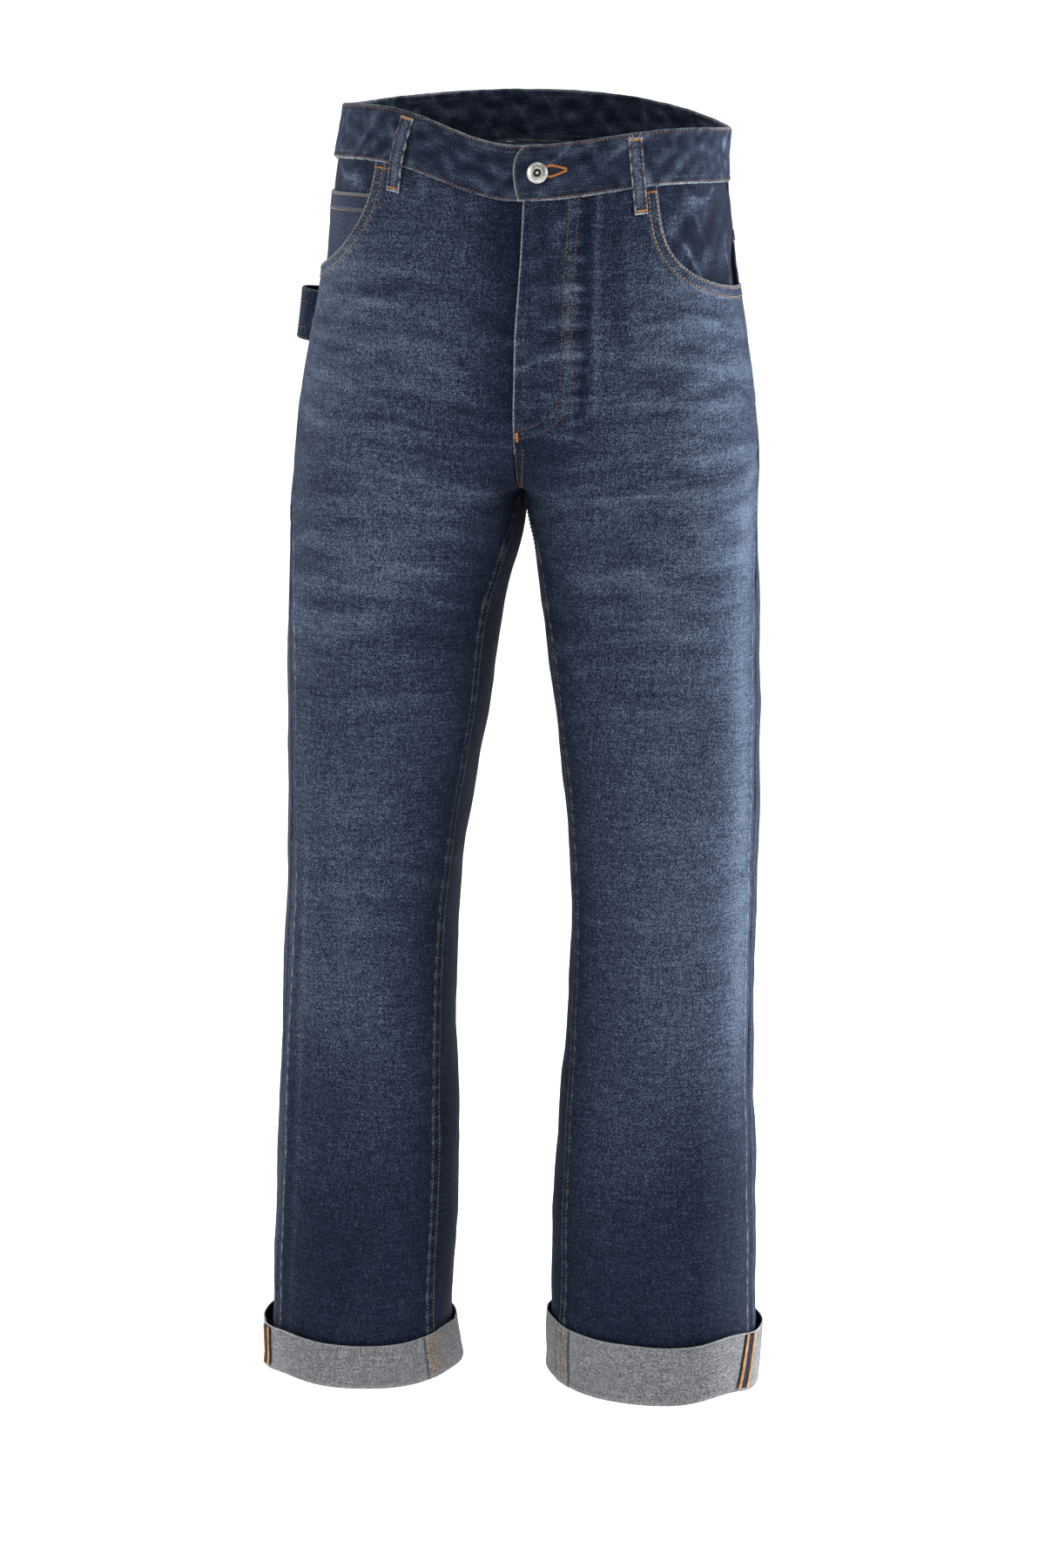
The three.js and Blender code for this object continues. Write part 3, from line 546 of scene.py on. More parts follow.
def front_out(side, t, h):
    """How far a front's own shape stands out from the skin."""
    t, h = floats(t, h)
    u, v, width = panel_mm(front_place, side, t, h)
    _, out = front_creases(side, t, h)
    out += 0.22 * thigh_lines(side, u, v, h)
    out += 0.45 * wavy(u, v, 46, 5 + side) + 0.06 * wavy(u, v, 15, 9 + side)
    if side == RIGHT:
        # The cloth sinks in where it goes under the fly
        out -= 1.2 * bell((u - 3) / 11) * ease((0.84 - h) / 0.14) * ease(h / 0.12)
    else:
        # The fly's double cloth, the lap beside the band's end, and puckers along the curved rows
        angle, _ = front_place(side, t, h)
        degrees_round = 450 - angle / DEG
        fly_lift = FLY_LIFT * ease(1.2 - t / FLY_WIDTH_T)
        out += fly_lift * ease((FLY_END_H - h) / 0.14)
        out += np.maximum(lap_rise(degrees_round) - fly_lift, 0) * bell(h / 0.06)
        out += 0.7 * ease((44 - u) / 3) * ease((0.84 - h) / 0.03)
        out -= 0.5 * bell((u - 46) / 3) * (h < 0.78)
        out += 0.2 * fly_beat(u, v) * bell((u - 39) / 6) * (h < 0.8)
    out += 0.5 * wavy(u, v * 0.45, 9, 21 + side) * bell(v / 20)
    mouth = mouth_distance(side, t, h)
    in_pocket = (h < 0.6) * ease((h + 0.02) / 0.02)
    gape = MOUTH_GAPE * bell(mouth / 22) * np.sin(np.pi * np.clip(h / 0.36, 0, 1))
    out += (0.6 * ease((MOUTH_HEM - mouth) / 1.5) + gape) * in_pocket
    out += 0.14 * np.sin((u - v) / 2.3) * bell((mouth - 5) / 4) * in_pocket
    side_rise, _ = seam_details(width - u, v, False, 31, 9.5)
    out += side_rise * ease((h - 0.34) / 0.03)
    inner_rise, _ = seam_details(u, v, True, 37)
    return out + inner_rise * ease((h - 0.985) / 0.02)


def front_surface(side, t, h, lift=0.0):
    t, h = floats(t, h)
    angle, z = front_place(side, t, h)
    points, normals = skin(side, angle, z, front_out(side, t, h) + lift)
    shift = np.interp(z, FLY_EDGE_Z, FLY_EDGE_X) + (UNDER_FLY if side == RIGHT else 0.0)
    points[..., 0] += shift * ease(1 - t / 0.14) * ease((FLY_END_H - 0.03 - h) / 0.1)
    return points, normals


def fly_fade_and_shade(u, v, h):
    """The mottled double cloth of the fly, dark and pale lines along its curved rows, and painted shade below
    it towards the crotch.
    """
    fade = (0.16 * wavy(u, v, 13, 39) - 0.04) * ease((46 - u) / 4) - 0.14 * bell((u - 47) / 4)
    fade += (0.26 * fly_beat(u, v) - 0.05) * bell((u - 39) / 6)
    fade += 0.40 * crinkles(u * 0.6 + v * 0.5, v, 34, 35) * ease((44 - u) / 5)
    beside_rows = 0.22 * bell((u - 33) / 2.5) + 0.42 * bell((u - 50) / 2.2) - 0.24 * bell((u - 42) / 3)
    fade = fade * (h < 0.8) + beside_rows * (h < 0.72)
    # The last term is painted shade below the fly, towards the crotch
    return fade - 0.08 * bell(u / 40) * ease((1 - h) / 0.1) - 0.12 * bell(u / 34) * bell((h - 0.9) / 0.1)


def front_looks(side, t, h):
    """How faded and how worn a front is, with painted shade and painted highlights in its fade."""
    u, v, width = panel_mm(front_place, side, t, h)
    off = (t - np.interp(h, FADE_H, FADE_CENTRE)) / np.interp(h, FADE_H, FADE_HALF)
    fade, _ = front_creases(side, t, h)
    fade += np.interp(h, FADE_H, FADE_BY_H) * bell(off * 0.95)
    # The second term is painted shade on the inner leg beside the inseam, below the crotch
    fade += 0.05 * wavy(u, v, 90, 17 + side) - 0.22 * bell(u / 24) * (h > 1.0)
    bent = bent_down(side, u, v)
    on_thigh = ease((h - 0.2) / 0.2) * ease((1.4 - h) / 0.3)
    fade += 0.12 * crinkles(u * 0.14, bent, 22, 69 + side) * on_thigh
    # The second term is painted shade about the crotch
    fade += 0.13 * thigh_lines(side, u, v, h) - 0.26 * bell(u / 60) * bell((h - 0.95) / 0.2)
    fade += 0.13 * wavy(u, v * 0.45, 9, 21 + side) * bell(v / 24)
    fade += 0.07 * crinkles(u * 0.6, v, 60, 25 + side) * (h < 1.2)
    if side == RIGHT:
        # Painted shadow beside the fly's edge. Below the knee, a pale line of painted highlight on a ridge
        # beside the outseam, with a line of painted shade beside it
        fade -= 0.45 * bell(u / 20) * ease((0.86 - h) / 0.2)
        ridge = ease((h - 1.3) / 0.2)
        fade += (0.16 * bell((width - u - 23) / 3) - 0.14 * bell((width - u - 16) / 4)) * ridge
    else:
        # A pale band beside the outseam, painted highlight where the side light falls, the knee, and a dark
        # place between the fly and the pocket
        fade += 0.40 * bell((t - 0.88) / 0.09) * ease((h - 0.8) / 0.2) * ease((1.75 - h) / 0.25)
        fade += 0.08 * bell((h - 1.42) / 0.24) + fly_fade_and_shade(u, v, h)
        fade -= 0.22 * bell((u - 62) / 26) * bell((h - 0.12) / 0.26)
    mouth = mouth_distance(side, t, h)
    in_pocket = h < 0.6
    worn = (0.75 * bell(mouth) + 0.25 * bell((mouth - 9.5) / 1.1)) * in_pocket
    if side == LEFT:
        worn += (0.9 * bell(u / 1.1) + 0.12 * bell((u - 6) / 1.2)) * (h < 0.85)
    _, side_worn = seam_details(width - u, v, False, 31, 9.5)
    _, inner_worn = seam_details(u, v, True, 37)
    worn += side_worn * ease((h - 0.33) / 0.04) + inner_worn * (h > 0.99)
    return fade, worn + 0.15 * bell(v / 1.4)


def grid_normals(points, toward, is_round=False):
    """Normals of a grid of points, turned to the same side as the given directions."""
    if is_round:
        wrapped = np.concatenate([points[:, -1:], points, points[:, :1]], axis=1)
        across = (wrapped[:, 2:] - wrapped[:, :-2]) / 2
    else:
        across = np.gradient(points, axis=1)
    normals = np.cross(across, np.gradient(points, axis=0))
    normals /= np.maximum(np.linalg.norm(normals, axis=-1, keepdims=True), 1e-9)
    return normals * (1 if np.sum(normals * toward) > 0 else -1)


def edge_distance(points, is_round):
    """Millimetres from each point of a grid to the nearest edge of the cloth."""
    down = np.linalg.norm(np.diff(points, axis=0), axis=-1)
    down = np.concatenate([np.zeros((1, down.shape[1])), np.cumsum(down, axis=0)])
    near = np.minimum(down, down[-1:] - down)
    if is_round:
        return near
    across = np.linalg.norm(np.diff(points, axis=1), axis=-1)
    across = np.concatenate([np.zeros((across.shape[0], 1)), np.cumsum(across, axis=1)], axis=1)
    return np.minimum(near, np.minimum(across, across[:, -1:] - across))


def add_mesh(name, points, faces, materials):
    """A smooth mesh from points in metres."""
    mesh = bpy.data.meshes.new(name)
    mesh.from_pydata(points, [], faces)
    for material in materials:
        mesh.materials.append(material)
    mesh.polygons.foreach_set("use_smooth", np.ones(len(mesh.polygons), bool))
    thing = bpy.data.objects.new(name, mesh)
    bpy.context.scene.collection.objects.link(thing)
    return thing


def link(name, points, faces, materials, values=(), face_materials=None):
    """A piece of the garment in millimetres. values are (name, numbers) to go with the points."""
    thing = add_mesh(name, (np.asarray(points) * MM).tolist(), faces, materials)
    mesh = thing.data
    if face_materials is not None:
        mesh.polygons.foreach_set("material_index", np.asarray(face_materials, np.int32))
    for value_name, numbers in values:
        numbers = np.asarray(numbers, np.float32)
        kind, key = ("FLOAT", "value") if numbers.ndim == 1 else ("FLOAT_VECTOR", "vector")
        mesh.attributes.new(value_name, kind, "POINT").data.foreach_set(key, numbers.ravel())
    mesh.update()
    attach(thing, "root")
    return thing


def grid_index(rows, columns, is_round=False):
    """The numbers of a grid's points. A round grid has its first column again at its end."""
    index = np.arange(rows * columns).reshape(rows, columns)
    return np.concatenate([index, index[:, :1]], axis=1) if is_round else index


def grid_quads(index):
    corners = (index[:-1, :-1], index[1:, :-1], index[1:, 1:], index[:-1, 1:])
    return np.stack([corner.ravel() for corner in corners], axis=1)


def shell(name, points, toward, thick, cloth, looks, materials, is_round=False, rounding=0.5):
    """A closed thin shell: outer points in a grid, inner ones under them, and rolled edges.

    looks are how faded and how worn the cloth is, with painted shade and painted highlights in the first of
    them. A second material goes on the inside.
    """
    rows, columns = points.shape[:2]
    normals = grid_normals(points, toward, is_round)
    reach = thick * 0.55
    near = np.clip(1 - edge_distance(points, is_round) / reach, 0, 1)
    drop = (1 - np.sqrt(1 - near**2)) * thick * rounding
    outer = points - normals * drop[..., None]
    inner = points - normals * (thick - drop * 0.8)[..., None]
    index = grid_index(rows, columns, is_round)
    below = rows * columns
    outside = grid_quads(index)
    inside = outside[:, ::-1] + below
    rims = [(index[0, 1:], index[0, :-1]), (index[-1, :-1], index[-1, 1:])]
    if not is_round:
        rims += [(index[:-1, 0], index[1:, 0]), (index[1:, -1], index[:-1, -1])]
    rim = np.concatenate([np.stack([p, q, q + below, p + below], axis=1)[:, ::-1] for p, q in rims])
    flow = np.cross(outer[1, 0] - outer[0, 0], outer[0, 1] - outer[0, 0])
    faces = np.concatenate([outside, rim, inside])
    if flow @ normals[0, 0] < 0:
        faces = faces[:, ::-1]
    inside_slot = 1 if len(materials) > 1 else 0
    kinds = [0] * (len(outside) + len(rim)) + [inside_slot] * len(inside)
    values = [("cloth", np.tile(cloth.reshape(-1, 3), (2, 1)))]
    for value_name, numbers in zip(("fade", "worn"), looks):
        values.append((value_name, np.tile(np.broadcast_to(numbers, (rows, columns)).ravel(), 2)))
    both = np.concatenate([outer.reshape(-1, 3), inner.reshape(-1, 3)])
    thing = link(name, both, faces.tolist(), materials, values, kinds)
    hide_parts(name)


def spaced(length, step, fine=(0.35, 0.8, 1.6, 2.8)):
    """Shares of a length, close together near both ends and about a step apart between them."""
    start = np.array([0.0, *fine])
    count = max(int((length - 2 * fine[-1]) / step), 2)
    between = np.linspace(fine[-1], length - fine[-1], count + 1)[1:-1]
    return np.concatenate([start, between, length - start[::-1]]) / length


def cloth_places(u, v, layer):
    """Places in the cloth in metres, for its weave: across, down, and a number for each cut piece."""
    u, v, layer = floats(u, v, layer)
    return np.stack([u * MM + layer * 0.37, v * MM + layer * 0.61, layer], axis=-1)


# Materials
def colour(red, green, blue):
    """A colour from 0 to 255 as a light value."""
    levels = [c / 255 for c in (red, green, blue)]
    return [c / 12.92 if c <= 0.04045 else ((c + 0.055) / 1.055) ** 2.4 for c in levels] + [1.0]


class Nodes:
    """Short ways to add shader nodes to a new material."""

    def __init__(self, name):
        self.material = bpy.data.materials.new(name)
        self.material.use_nodes = True
        self.tree = self.material.node_tree
        self.shader = self.tree.nodes["Principled BSDF"]

    def put(self, socket, value):
        if isinstance(value, bpy.types.NodeSocket):
            self.tree.links.new(value, socket)
        else:
            socket.default_value = value

    def add(self, kind, inputs, **settings):
        node = self.tree.nodes.new(kind)
        for key, value in settings.items():
            setattr(node, key, value)
        for key, value in inputs.items():
            self.put(node.inputs[key], value)
        return node

    def value(self, name, output="Fac"):
        return self.add("ShaderNodeAttribute", {}, attribute_name=name).outputs[output]

    def place(self):
        return self.add("ShaderNodeTexCoord", {}).outputs["Object"]

    def math(self, kind, *values):
        return self.add("ShaderNodeMath", dict(enumerate(values)), operation=kind).outputs[0]

    def plus(self, first, *others):
        for other in others:
            first = self.math("ADD", first, other)
        return first

    def noise(self, place, scale, detail=2.0, rough=0.5):
        sized = self.add("ShaderNodeVectorMath", {0: place, 1: scale}, operation="MULTIPLY").outputs[0]
        inputs = {"Vector": sized, "Scale": 1.0, "Detail": detail, "Roughness": rough}
        return self.add("ShaderNodeTexNoise", inputs).outputs["Fac"]

    def ramp(self, value, low, high, to_low=0.0, to_high=1.0):
        inputs = {"Value": value, "From Min": low, "From Max": high, "To Min": to_low, "To Max": to_high}
        return self.add("ShaderNodeMapRange", inputs).outputs[0]

    def swing(self, value, reach, size):
        """From -size to size, as a value between 0 and 1 goes so far to each side of its middle."""
        return self.ramp(value, 0.5 - reach, 0.5 + reach, -size, size)

    def blend(self, share, a, b):
        node = self.add("ShaderNodeMix", {}, data_type="RGBA")
        self.put(node.inputs[0], share)
        self.put(node.inputs[6], a)
        self.put(node.inputs[7], b)
        return node.outputs[2]

    def finish(self, base, rough, bump=None, depth=0.0003, strength=0.5, **sockets):
        self.put(self.shader.inputs["Base Color"], base)
        self.put(self.shader.inputs["Roughness"], rough)
        if bump is not None:
            node = self.add("ShaderNodeBump", {"Strength": strength, "Distance": depth, "Height": bump})
            self.put(self.shader.inputs["Normal"], node.outputs[0])
        for name, value in sockets.items():
            self.shader.inputs[name.replace("_", " ")].default_value = value
        return self.material


def weave_parts(nodes, place):
    """Threads of uneven thickness both ways, the fine diagonal ribs, and a speckle."""
    down = nodes.noise(place, (1000.0, 85.0, 1.0), 2.0, 0.6)
    across = nodes.noise(place, (75.0, 950.0, 1.0), 2.0, 0.6)
    speckle = nodes.noise(place, (1500.0, 1250.0, 1.0), 1.0, 0.7)
    ribs = nodes.add(
        "ShaderNodeTexWave",
        {"Vector": place, "Scale": 330.0, "Distortion": 0.6, "Detail": 1.0, "Detail Scale": 2.0},
        wave_type="BANDS",
        bands_direction="DIAGONAL",
    ).outputs["Fac"]
    return down, across, speckle, ribs


DYE_DARK = colour(13, 19, 33)
DYE_MID = colour(42, 50, 66)
DYE_PALE = colour(95, 107, 123)
WORN_THREAD = colour(168, 174, 178)


def denim(name, fade_shift=0.0):
    """Dyed cloth. It is darkest where it is least faded and where shade is painted, palest where it is faded
    and where highlights are painted, and bare threads show where it is worn.
    """
    nodes = Nodes(name)
    place = nodes.value("cloth", "Vector")
    worn = nodes.value("worn")
    down, across, speckle, ribs = weave_parts(nodes, place)
    blotch = nodes.noise(place, (9.0, 7.0, 1.0), 1.0, 0.5)
    fade = nodes.math("ADD", nodes.value("fade"), fade_shift)
    slub = nodes.plus(nodes.swing(down, 0.2, 0.13), nodes.swing(across, 0.2, 0.16))
    grain = nodes.plus(slub, nodes.swing(speckle, 0.16, 0.58), nodes.swing(ribs, 0.5, 0.08))
    shade = nodes.plus(fade, grain, nodes.swing(blotch, 0.2, 0.04))
    low = nodes.blend(nodes.ramp(shade, -0.2, 0.5), DYE_DARK, DYE_MID)
    base = nodes.blend(nodes.ramp(shade, 0.5, 1.15), low, DYE_PALE)
    base = nodes.blend(nodes.ramp(worn, -0.6, -0.1, 0.7, 0.0), base, DYE_DARK)
    rubbed = nodes.math("MULTIPLY", worn, nodes.ramp(speckle, 0.34, 0.66, 0.3, 1.3))
    base = nodes.blend(nodes.ramp(rubbed, 0.08, 1.0, 0.0, 0.8), base, WORN_THREAD)
    height = nodes.plus(nodes.math("MULTIPLY", ribs, 0.5), down, across)
    rough = nodes.ramp(shade, 0.0, 1.0, 0.78, 0.92)
    return nodes.finish(base, rough, height, 0.0005, 0.45, Specular_IOR_Level=0.03, Sheen_Weight=0.01)


def reverse(name, light, dark):
    """The inside of the cloth, mostly undyed threads with some dyed ones showing between."""
    nodes = Nodes(name)
    place = nodes.value("cloth", "Vector")
    worn = nodes.value("worn")
    down, across, speckle, ribs = weave_parts(nodes, place)
    grain = nodes.plus(nodes.swing(across, 0.25, 0.12), nodes.swing(down, 0.25, 0.10))
    share = nodes.plus(grain, nodes.swing(speckle, 0.25, 0.5), nodes.swing(ribs, 0.5, 0.2), 0.16)
    rubbed = nodes.ramp(worn, 0.1, 1.0, 0.0, 0.5)
    sunk = nodes.ramp(worn, -0.7, -0.1, 0.8, 0.0)
    base = nodes.blend(rubbed, nodes.blend(nodes.ramp(share, 0, 1), dark, light), colour(175, 175, 172))
    base = nodes.blend(sunk, base, DYE_DARK)
    height = nodes.plus(nodes.math("MULTIPLY", ribs, 0.6), across)
    rough = nodes.ramp(speckle, 0, 1, 0.82, 0.95)
    return nodes.finish(base, rough, height, 0.0005, 0.7, Specular_IOR_Level=0.15)


def thread(name, deep, light):
    nodes = Nodes(name)
    place = nodes.place()
    patches = nodes.noise(place, (60.0, 60.0, 60.0), 3.0, 0.7)
    fibres = nodes.noise(place, (2400.0, 2400.0, 2400.0), 1.0)
    base = nodes.blend(nodes.ramp(patches, 0.3, 0.7), deep, light)
    rough = nodes.ramp(fibres, 0.2, 0.8, 0.6, 0.8)
    return nodes.finish(base, rough, fibres, 0.0002, 0.4, Specular_IOR_Level=0.25)


front_denim = denim("denim_front")
back_denim = denim("denim_back")
band_denim = denim("denim_band")
dark_denim = denim("denim_dark", -0.02)
grey_reverse = reverse("denim_reverse", colour(188, 186, 182), colour(70, 72, 78))
inside_reverse = reverse("denim_inside", colour(120, 125, 136), colour(40, 48, 66))

# Threads: the dark and the light of each colour, and the rows of stitches sewn with it
THREADS = {
    "brown": ((52, 38, 36), (98, 70, 54), "fly back_right back_left waistband loops strap"),
    "tan": ((98, 76, 54), (138, 116, 88), "mouth_right mouth_left cuff_left"),
    "ochre": ((136, 94, 44), (180, 132, 72), "cuff_right"),
    "grey": ((46, 46, 54), (84, 82, 84), "front_right front_left"),
    "orange": ((160, 96, 36), (196, 132, 60), ""),
    "pale": ((150, 152, 152), (190, 190, 186), ""),
}
thread_of = {}
for name, (deep, light, rows) in THREADS.items():
    material = thread("thread_" + name, colour(*deep), colour(*light))
    thread_of[name] = material
    for row in rows.split():
        thread_of["stitches_" + row] = material
thread_of["bar_tacks"] = thread_of["buttonhole"] = thread_of["orange"]
thread_of["bound_edges"] = thread_of["ochre"]
thread_of["loose_threads"] = thread_of["pale"]

# The legs' panels, which end just above the middle of the cuffs' folds
SEAM_FINE = (0.35, 0.8, 1.5, 2.4, 3.3, 4.2, 5.1, 6.0, 6.9, 7.9, 9.0, 10.2, 11.6)
LEG_END_H = 1 - (CUFF_FOLD + 0.5) / LEG_LONG
LEG_ROWS = 1 + np.arange(1, 213) / 212 * LEG_END_H
EDGE_GAP = 0.12
FRONT_WIDE = 200.0


def inset(t, width):
    edge = EDGE_GAP / width
    return np.clip(t, edge, 1 - edge)


def front_grid(side):
    """t and h of a front's points: rows that follow its pocket's mouth and side, and level ones below."""
    mouth_rows, side_rows = 54, 44
    shares = np.concatenate([np.linspace(0, 1, mouth_rows + 1), 1 + np.arange(1, side_rows + 1) / side_rows])
    columns = spaced(225.0, 3.2, SEAM_FINE)
    edge_t, edge_h = mouth_edge(side, np.clip(shares, 0, 1))
    edge_h = np.where(shares > 1, mix(MOUTH_SIDE_H[side], 1, np.clip(shares - 1, 0, 1)), edge_h)
    middle_h = 1 - (1 - shares / 2) ** 1.8
    middle_h = (middle_h - middle_h[0]) / (middle_h[-1] - middle_h[0])
    t_above = edge_t[:, None] * columns[None, :]
    h_above = mix(middle_h[:, None], edge_h[:, None], columns[None, :] ** 1.3)
    t_below = np.broadcast_to(columns, (len(LEG_ROWS), len(columns)))
    h_below = np.broadcast_to(LEG_ROWS[:, None], t_below.shape)
    return np.concatenate([t_above, t_below]), np.concatenate([h_above, h_below])


for side, word in SIDES:
    t, h = front_grid(side)
    t, h = inset(t, FRONT_WIDE), h - 0.003 * bell(h / 0.01)
    points, normals = front_surface(side, t, h)
    cloth = grain_places(side, *front_place(side, t, h), True, 1 + side * 0.5)
    looks = front_looks(side, t, h)
    materials = [front_denim, inside_reverse]
    shell(f"front_{word}", points, normals, DENIM, cloth, looks, materials)

# Backs, with the yokes above them and the patch pockets on them
YOKE_SIDE_H = 0.15
YOKE_CENTRE_H = 0.29
YOKE_GAP_H = 0.0006
BACK_COLUMNS = spaced(250.0, 3.4, SEAM_FINE)


def yoke_h(t):
    return mix(YOKE_SIDE_H, YOKE_CENTRE_H, t)


def back_out(side, t, h):
    u, v, width = panel_mm(back_place, side, t, h)
    out = 0.7 * wavy(u, v, 60, 41 + side) + 0.2 * wavy(u, v, 18, 45 + side)
    side_rise, _ = seam_details(u, v, False, 31)
    inner_rise, _ = seam_details(width - u, v, True, 53)
    below_yoke = (h - yoke_h(t)) * RISE_LONG
    yoke_rise = 0.6 * ease((9.5 - below_yoke) / 1.5) * (below_yoke > -0.5) * (h < 0.6)
    inner_rise = inner_rise * (h < 1) * 0.8 - 0.15 * bell((width - u) / 1.5) * (h > 1)
    return out + side_rise + inner_rise + yoke_rise


def back_surface(side, t, h, lift=0.0):
    t, h = floats(t, h)
    angle, z = back_place(side, t, h)
    return skin(side, angle, z, back_out(side, t, h) + lift)


def back_looks(side, t, h):
    u, v, width = panel_mm(back_place, side, t, h)
    seat = 0.34 * bell((t - 0.55) / 0.4) * bell((h - 0.72) / 0.42)
    calf = 0.10 * bell((t - 0.5) / 0.35) * bell((h - 1.75) / 0.2)
    knee = 0.16 * bell((t - 0.5) / 0.35) * bell((h - 1.38) / 0.18)
    bars = 0.10 * np.sin(v / 7.5 + wavy(u, v, 70, 3)) * bell((h - 1.4) / 0.09) * bell((t - 0.5) / 0.34)
    fade = 0.14 + seat + calf + knee + bars + 0.05 * wavy(u, v, 90, 61 + side)
    # Painted shade on the inner leg towards the inseam, below the crotch
    fade -= 0.26 * bell((t - 1) / 0.28) * ease((h - 1.0) / 0.15)
    _, side_worn = seam_details(u, v, False, 31)
    _, inner_worn = seam_details(width - u, v, True, 53)
    below_yoke = (h - yoke_h(t)) * RISE_LONG
    worn = side_worn * 0.8 + inner_worn * (h < 1) + 0.3 * bell((width - u) / 0.8) * (h > 1)
    return fade, worn + 0.45 * bell((below_yoke - 9.2) / 1.2) * (h < 0.6)


def back_shell(name, side, h, layer):
    """A piece as wide as the back, from the h of its points. Its edge stays beside the other half's."""
    t = inset(np.broadcast_to(BACK_COLUMNS, h.shape), PANEL_WIDE)
    points, normals = back_surface(side, t, h)
    at_middle = (t > 0.999) & (h < 1)
    points[..., 0] = np.where(at_middle, side * EDGE_GAP, points[..., 0])
    cloth = grain_places(side, *back_place(side, t, h), False, layer + side * 0.5)
    materials = [back_denim, inside_reverse]
    shell(name, points, normals, DENIM, cloth, back_looks(side, t, h), materials)


for side, word in SIDES:
    h_above = mix(yoke_h(BACK_COLUMNS) + YOKE_GAP_H, 1, np.linspace(0, 1, 62)[:, None])
    h_below = np.broadcast_to(LEG_ROWS[:, None], (len(LEG_ROWS), len(BACK_COLUMNS)))
    back_shell(f"back_{word}", side, np.concatenate([h_above, h_below]), 4)
    yoke_shares = spaced(50.0, 3.4, (0.35, 0.8, 1.6))
    back_shell(f"yoke_{word}", side, mix(0.0, yoke_h(BACK_COLUMNS) - YOKE_GAP_H, yoke_shares[:, None]), 7)

PATCH_TOP_H = 0.3
PATCH_DEEP_H = 0.56
PATCH_POINT_H = 0.07
PATCH_MIDDLE_T = 0.53
PATCH_TOP_T = 0.26
PATCH_BOTTOM_T = 0.22
PATCH_LIFT = SEAM_GAP + DENIM + 0.2
PATCH_WIDE = 125.0
PATCH_LONG = 130.0


def patch_place(across, down):
    """t and h of a place on a back pocket, by its shares across and down."""
    half = mix(PATCH_TOP_T, PATCH_BOTTOM_T, down)
    point = PATCH_POINT_H * (1 - np.abs(2 * across - 1)) * down
    h = PATCH_TOP_H + 0.06 * (across - 0.5) * (1 - down) + PATCH_DEEP_H * down + point
    return PATCH_MIDDLE_T + half * (2 * across - 1), h


def patch_surface(side, across, down, lift=0.0):
    across, down = floats(across, down)
    t, h = patch_place(across, down)
    edge = np.minimum(to_edge(across) * PATCH_WIDE, (1 - down) * PATCH_LONG)
    rise = 0.35 * ease((9 - edge) / 1.5) + 0.7 * bell(down / 0.09) * np.sin(np.pi * across)
    rise += 0.2 * wavy(across * PATCH_WIDE, down * PATCH_LONG, 30, 71)
    return back_surface(side, t, h, PATCH_LIFT + rise + lift)


for side, word in SIDES:
    across, down = np.meshgrid(spaced(PATCH_WIDE, 3.0), spaced(PATCH_LONG + 5, 3.0))
    points, normals = patch_surface(side, across, down)
    cloth = cloth_places(across * PATCH_WIDE, down * PATCH_LONG, 10 + side * 0.5)
    edge = np.minimum(to_edge(across) * PATCH_WIDE, to_edge(down) * PATCH_LONG)
    fade = 0.34 - 0.16 * bell((edge - 4) / 5) + 0.12 * bell((down - 0.5) / 0.4)
    looks = (fade, 0.7 * bell(edge / 1.3) + 0.3 * bell((edge - 8.5) / 1.2))
    shell(f"back_pocket_{word}", points, normals, DENIM, cloth, looks, [back_denim])

# Inside the front pockets' mouths
FACING_START_T = 0.33
FACING_END_H = 0.44
FACING_TOP_H = -0.035
FACING_TOP_DEPTH = 2.4


def facing_depth(t, h):
    """How far inside the skin a facing hangs: it comes close at the top and beside the outseam."""
    hanging = mix(4.6, 0.5, ease((t - 0.8) / 0.18) * (1 - ease((h - 0.14) / 0.13)))
    return mix(FACING_TOP_DEPTH, hanging, ease(h / 0.07))


def facing_surface(side, t, h, lift=0.0):
    t, h = floats(t, h)
    angle, z = front_place(side, t, h)
    u, v, _ = panel_mm(front_place, side, t, h)
    wrinkles = wavy(u, v, 30, 81 + side) + 1.6 * crinkles(u * 0.8 - v * 0.6, v * 0.5, 36, 88)
    out = 0.5 * wrinkles * ease((1 - t) / 0.1) - facing_depth(t, h)
    return skin(side, angle, z, out + lift)


for side, word in SIDES:
    t, h = np.meshgrid(np.linspace(FACING_START_T, 1, 56), np.linspace(FACING_TOP_H, FACING_END_H, 36))
    t = inset(t, FRONT_WIDE)
    points, normals = facing_surface(side, t, h)
    u, v, _ = panel_mm(front_place, side, t, h)
    # The facings are darker overall as painted shade inside the pockets' mouths, and their pale crinkle
    # lines, on the crinkles that also shape them, are partly wear and partly painted highlight
    fade = -0.22 + 0.3 * wavy(u + v, v, 24, 85)
    fade += crinkles(u * 0.8 - v * 0.6, v * 0.5, 36, 88) + 0.12 * wavy(u, v, 9, 89)
    looks = (fade, 0.3 * bell((1 - t) * PANEL_WIDE / 1.5))
    cloth = cloth_places(u, v, 13 + side * 0.5)
    materials = [dark_denim, inside_reverse]
    shell(f"facing_{word}", points, normals, THIN, cloth, looks, materials)

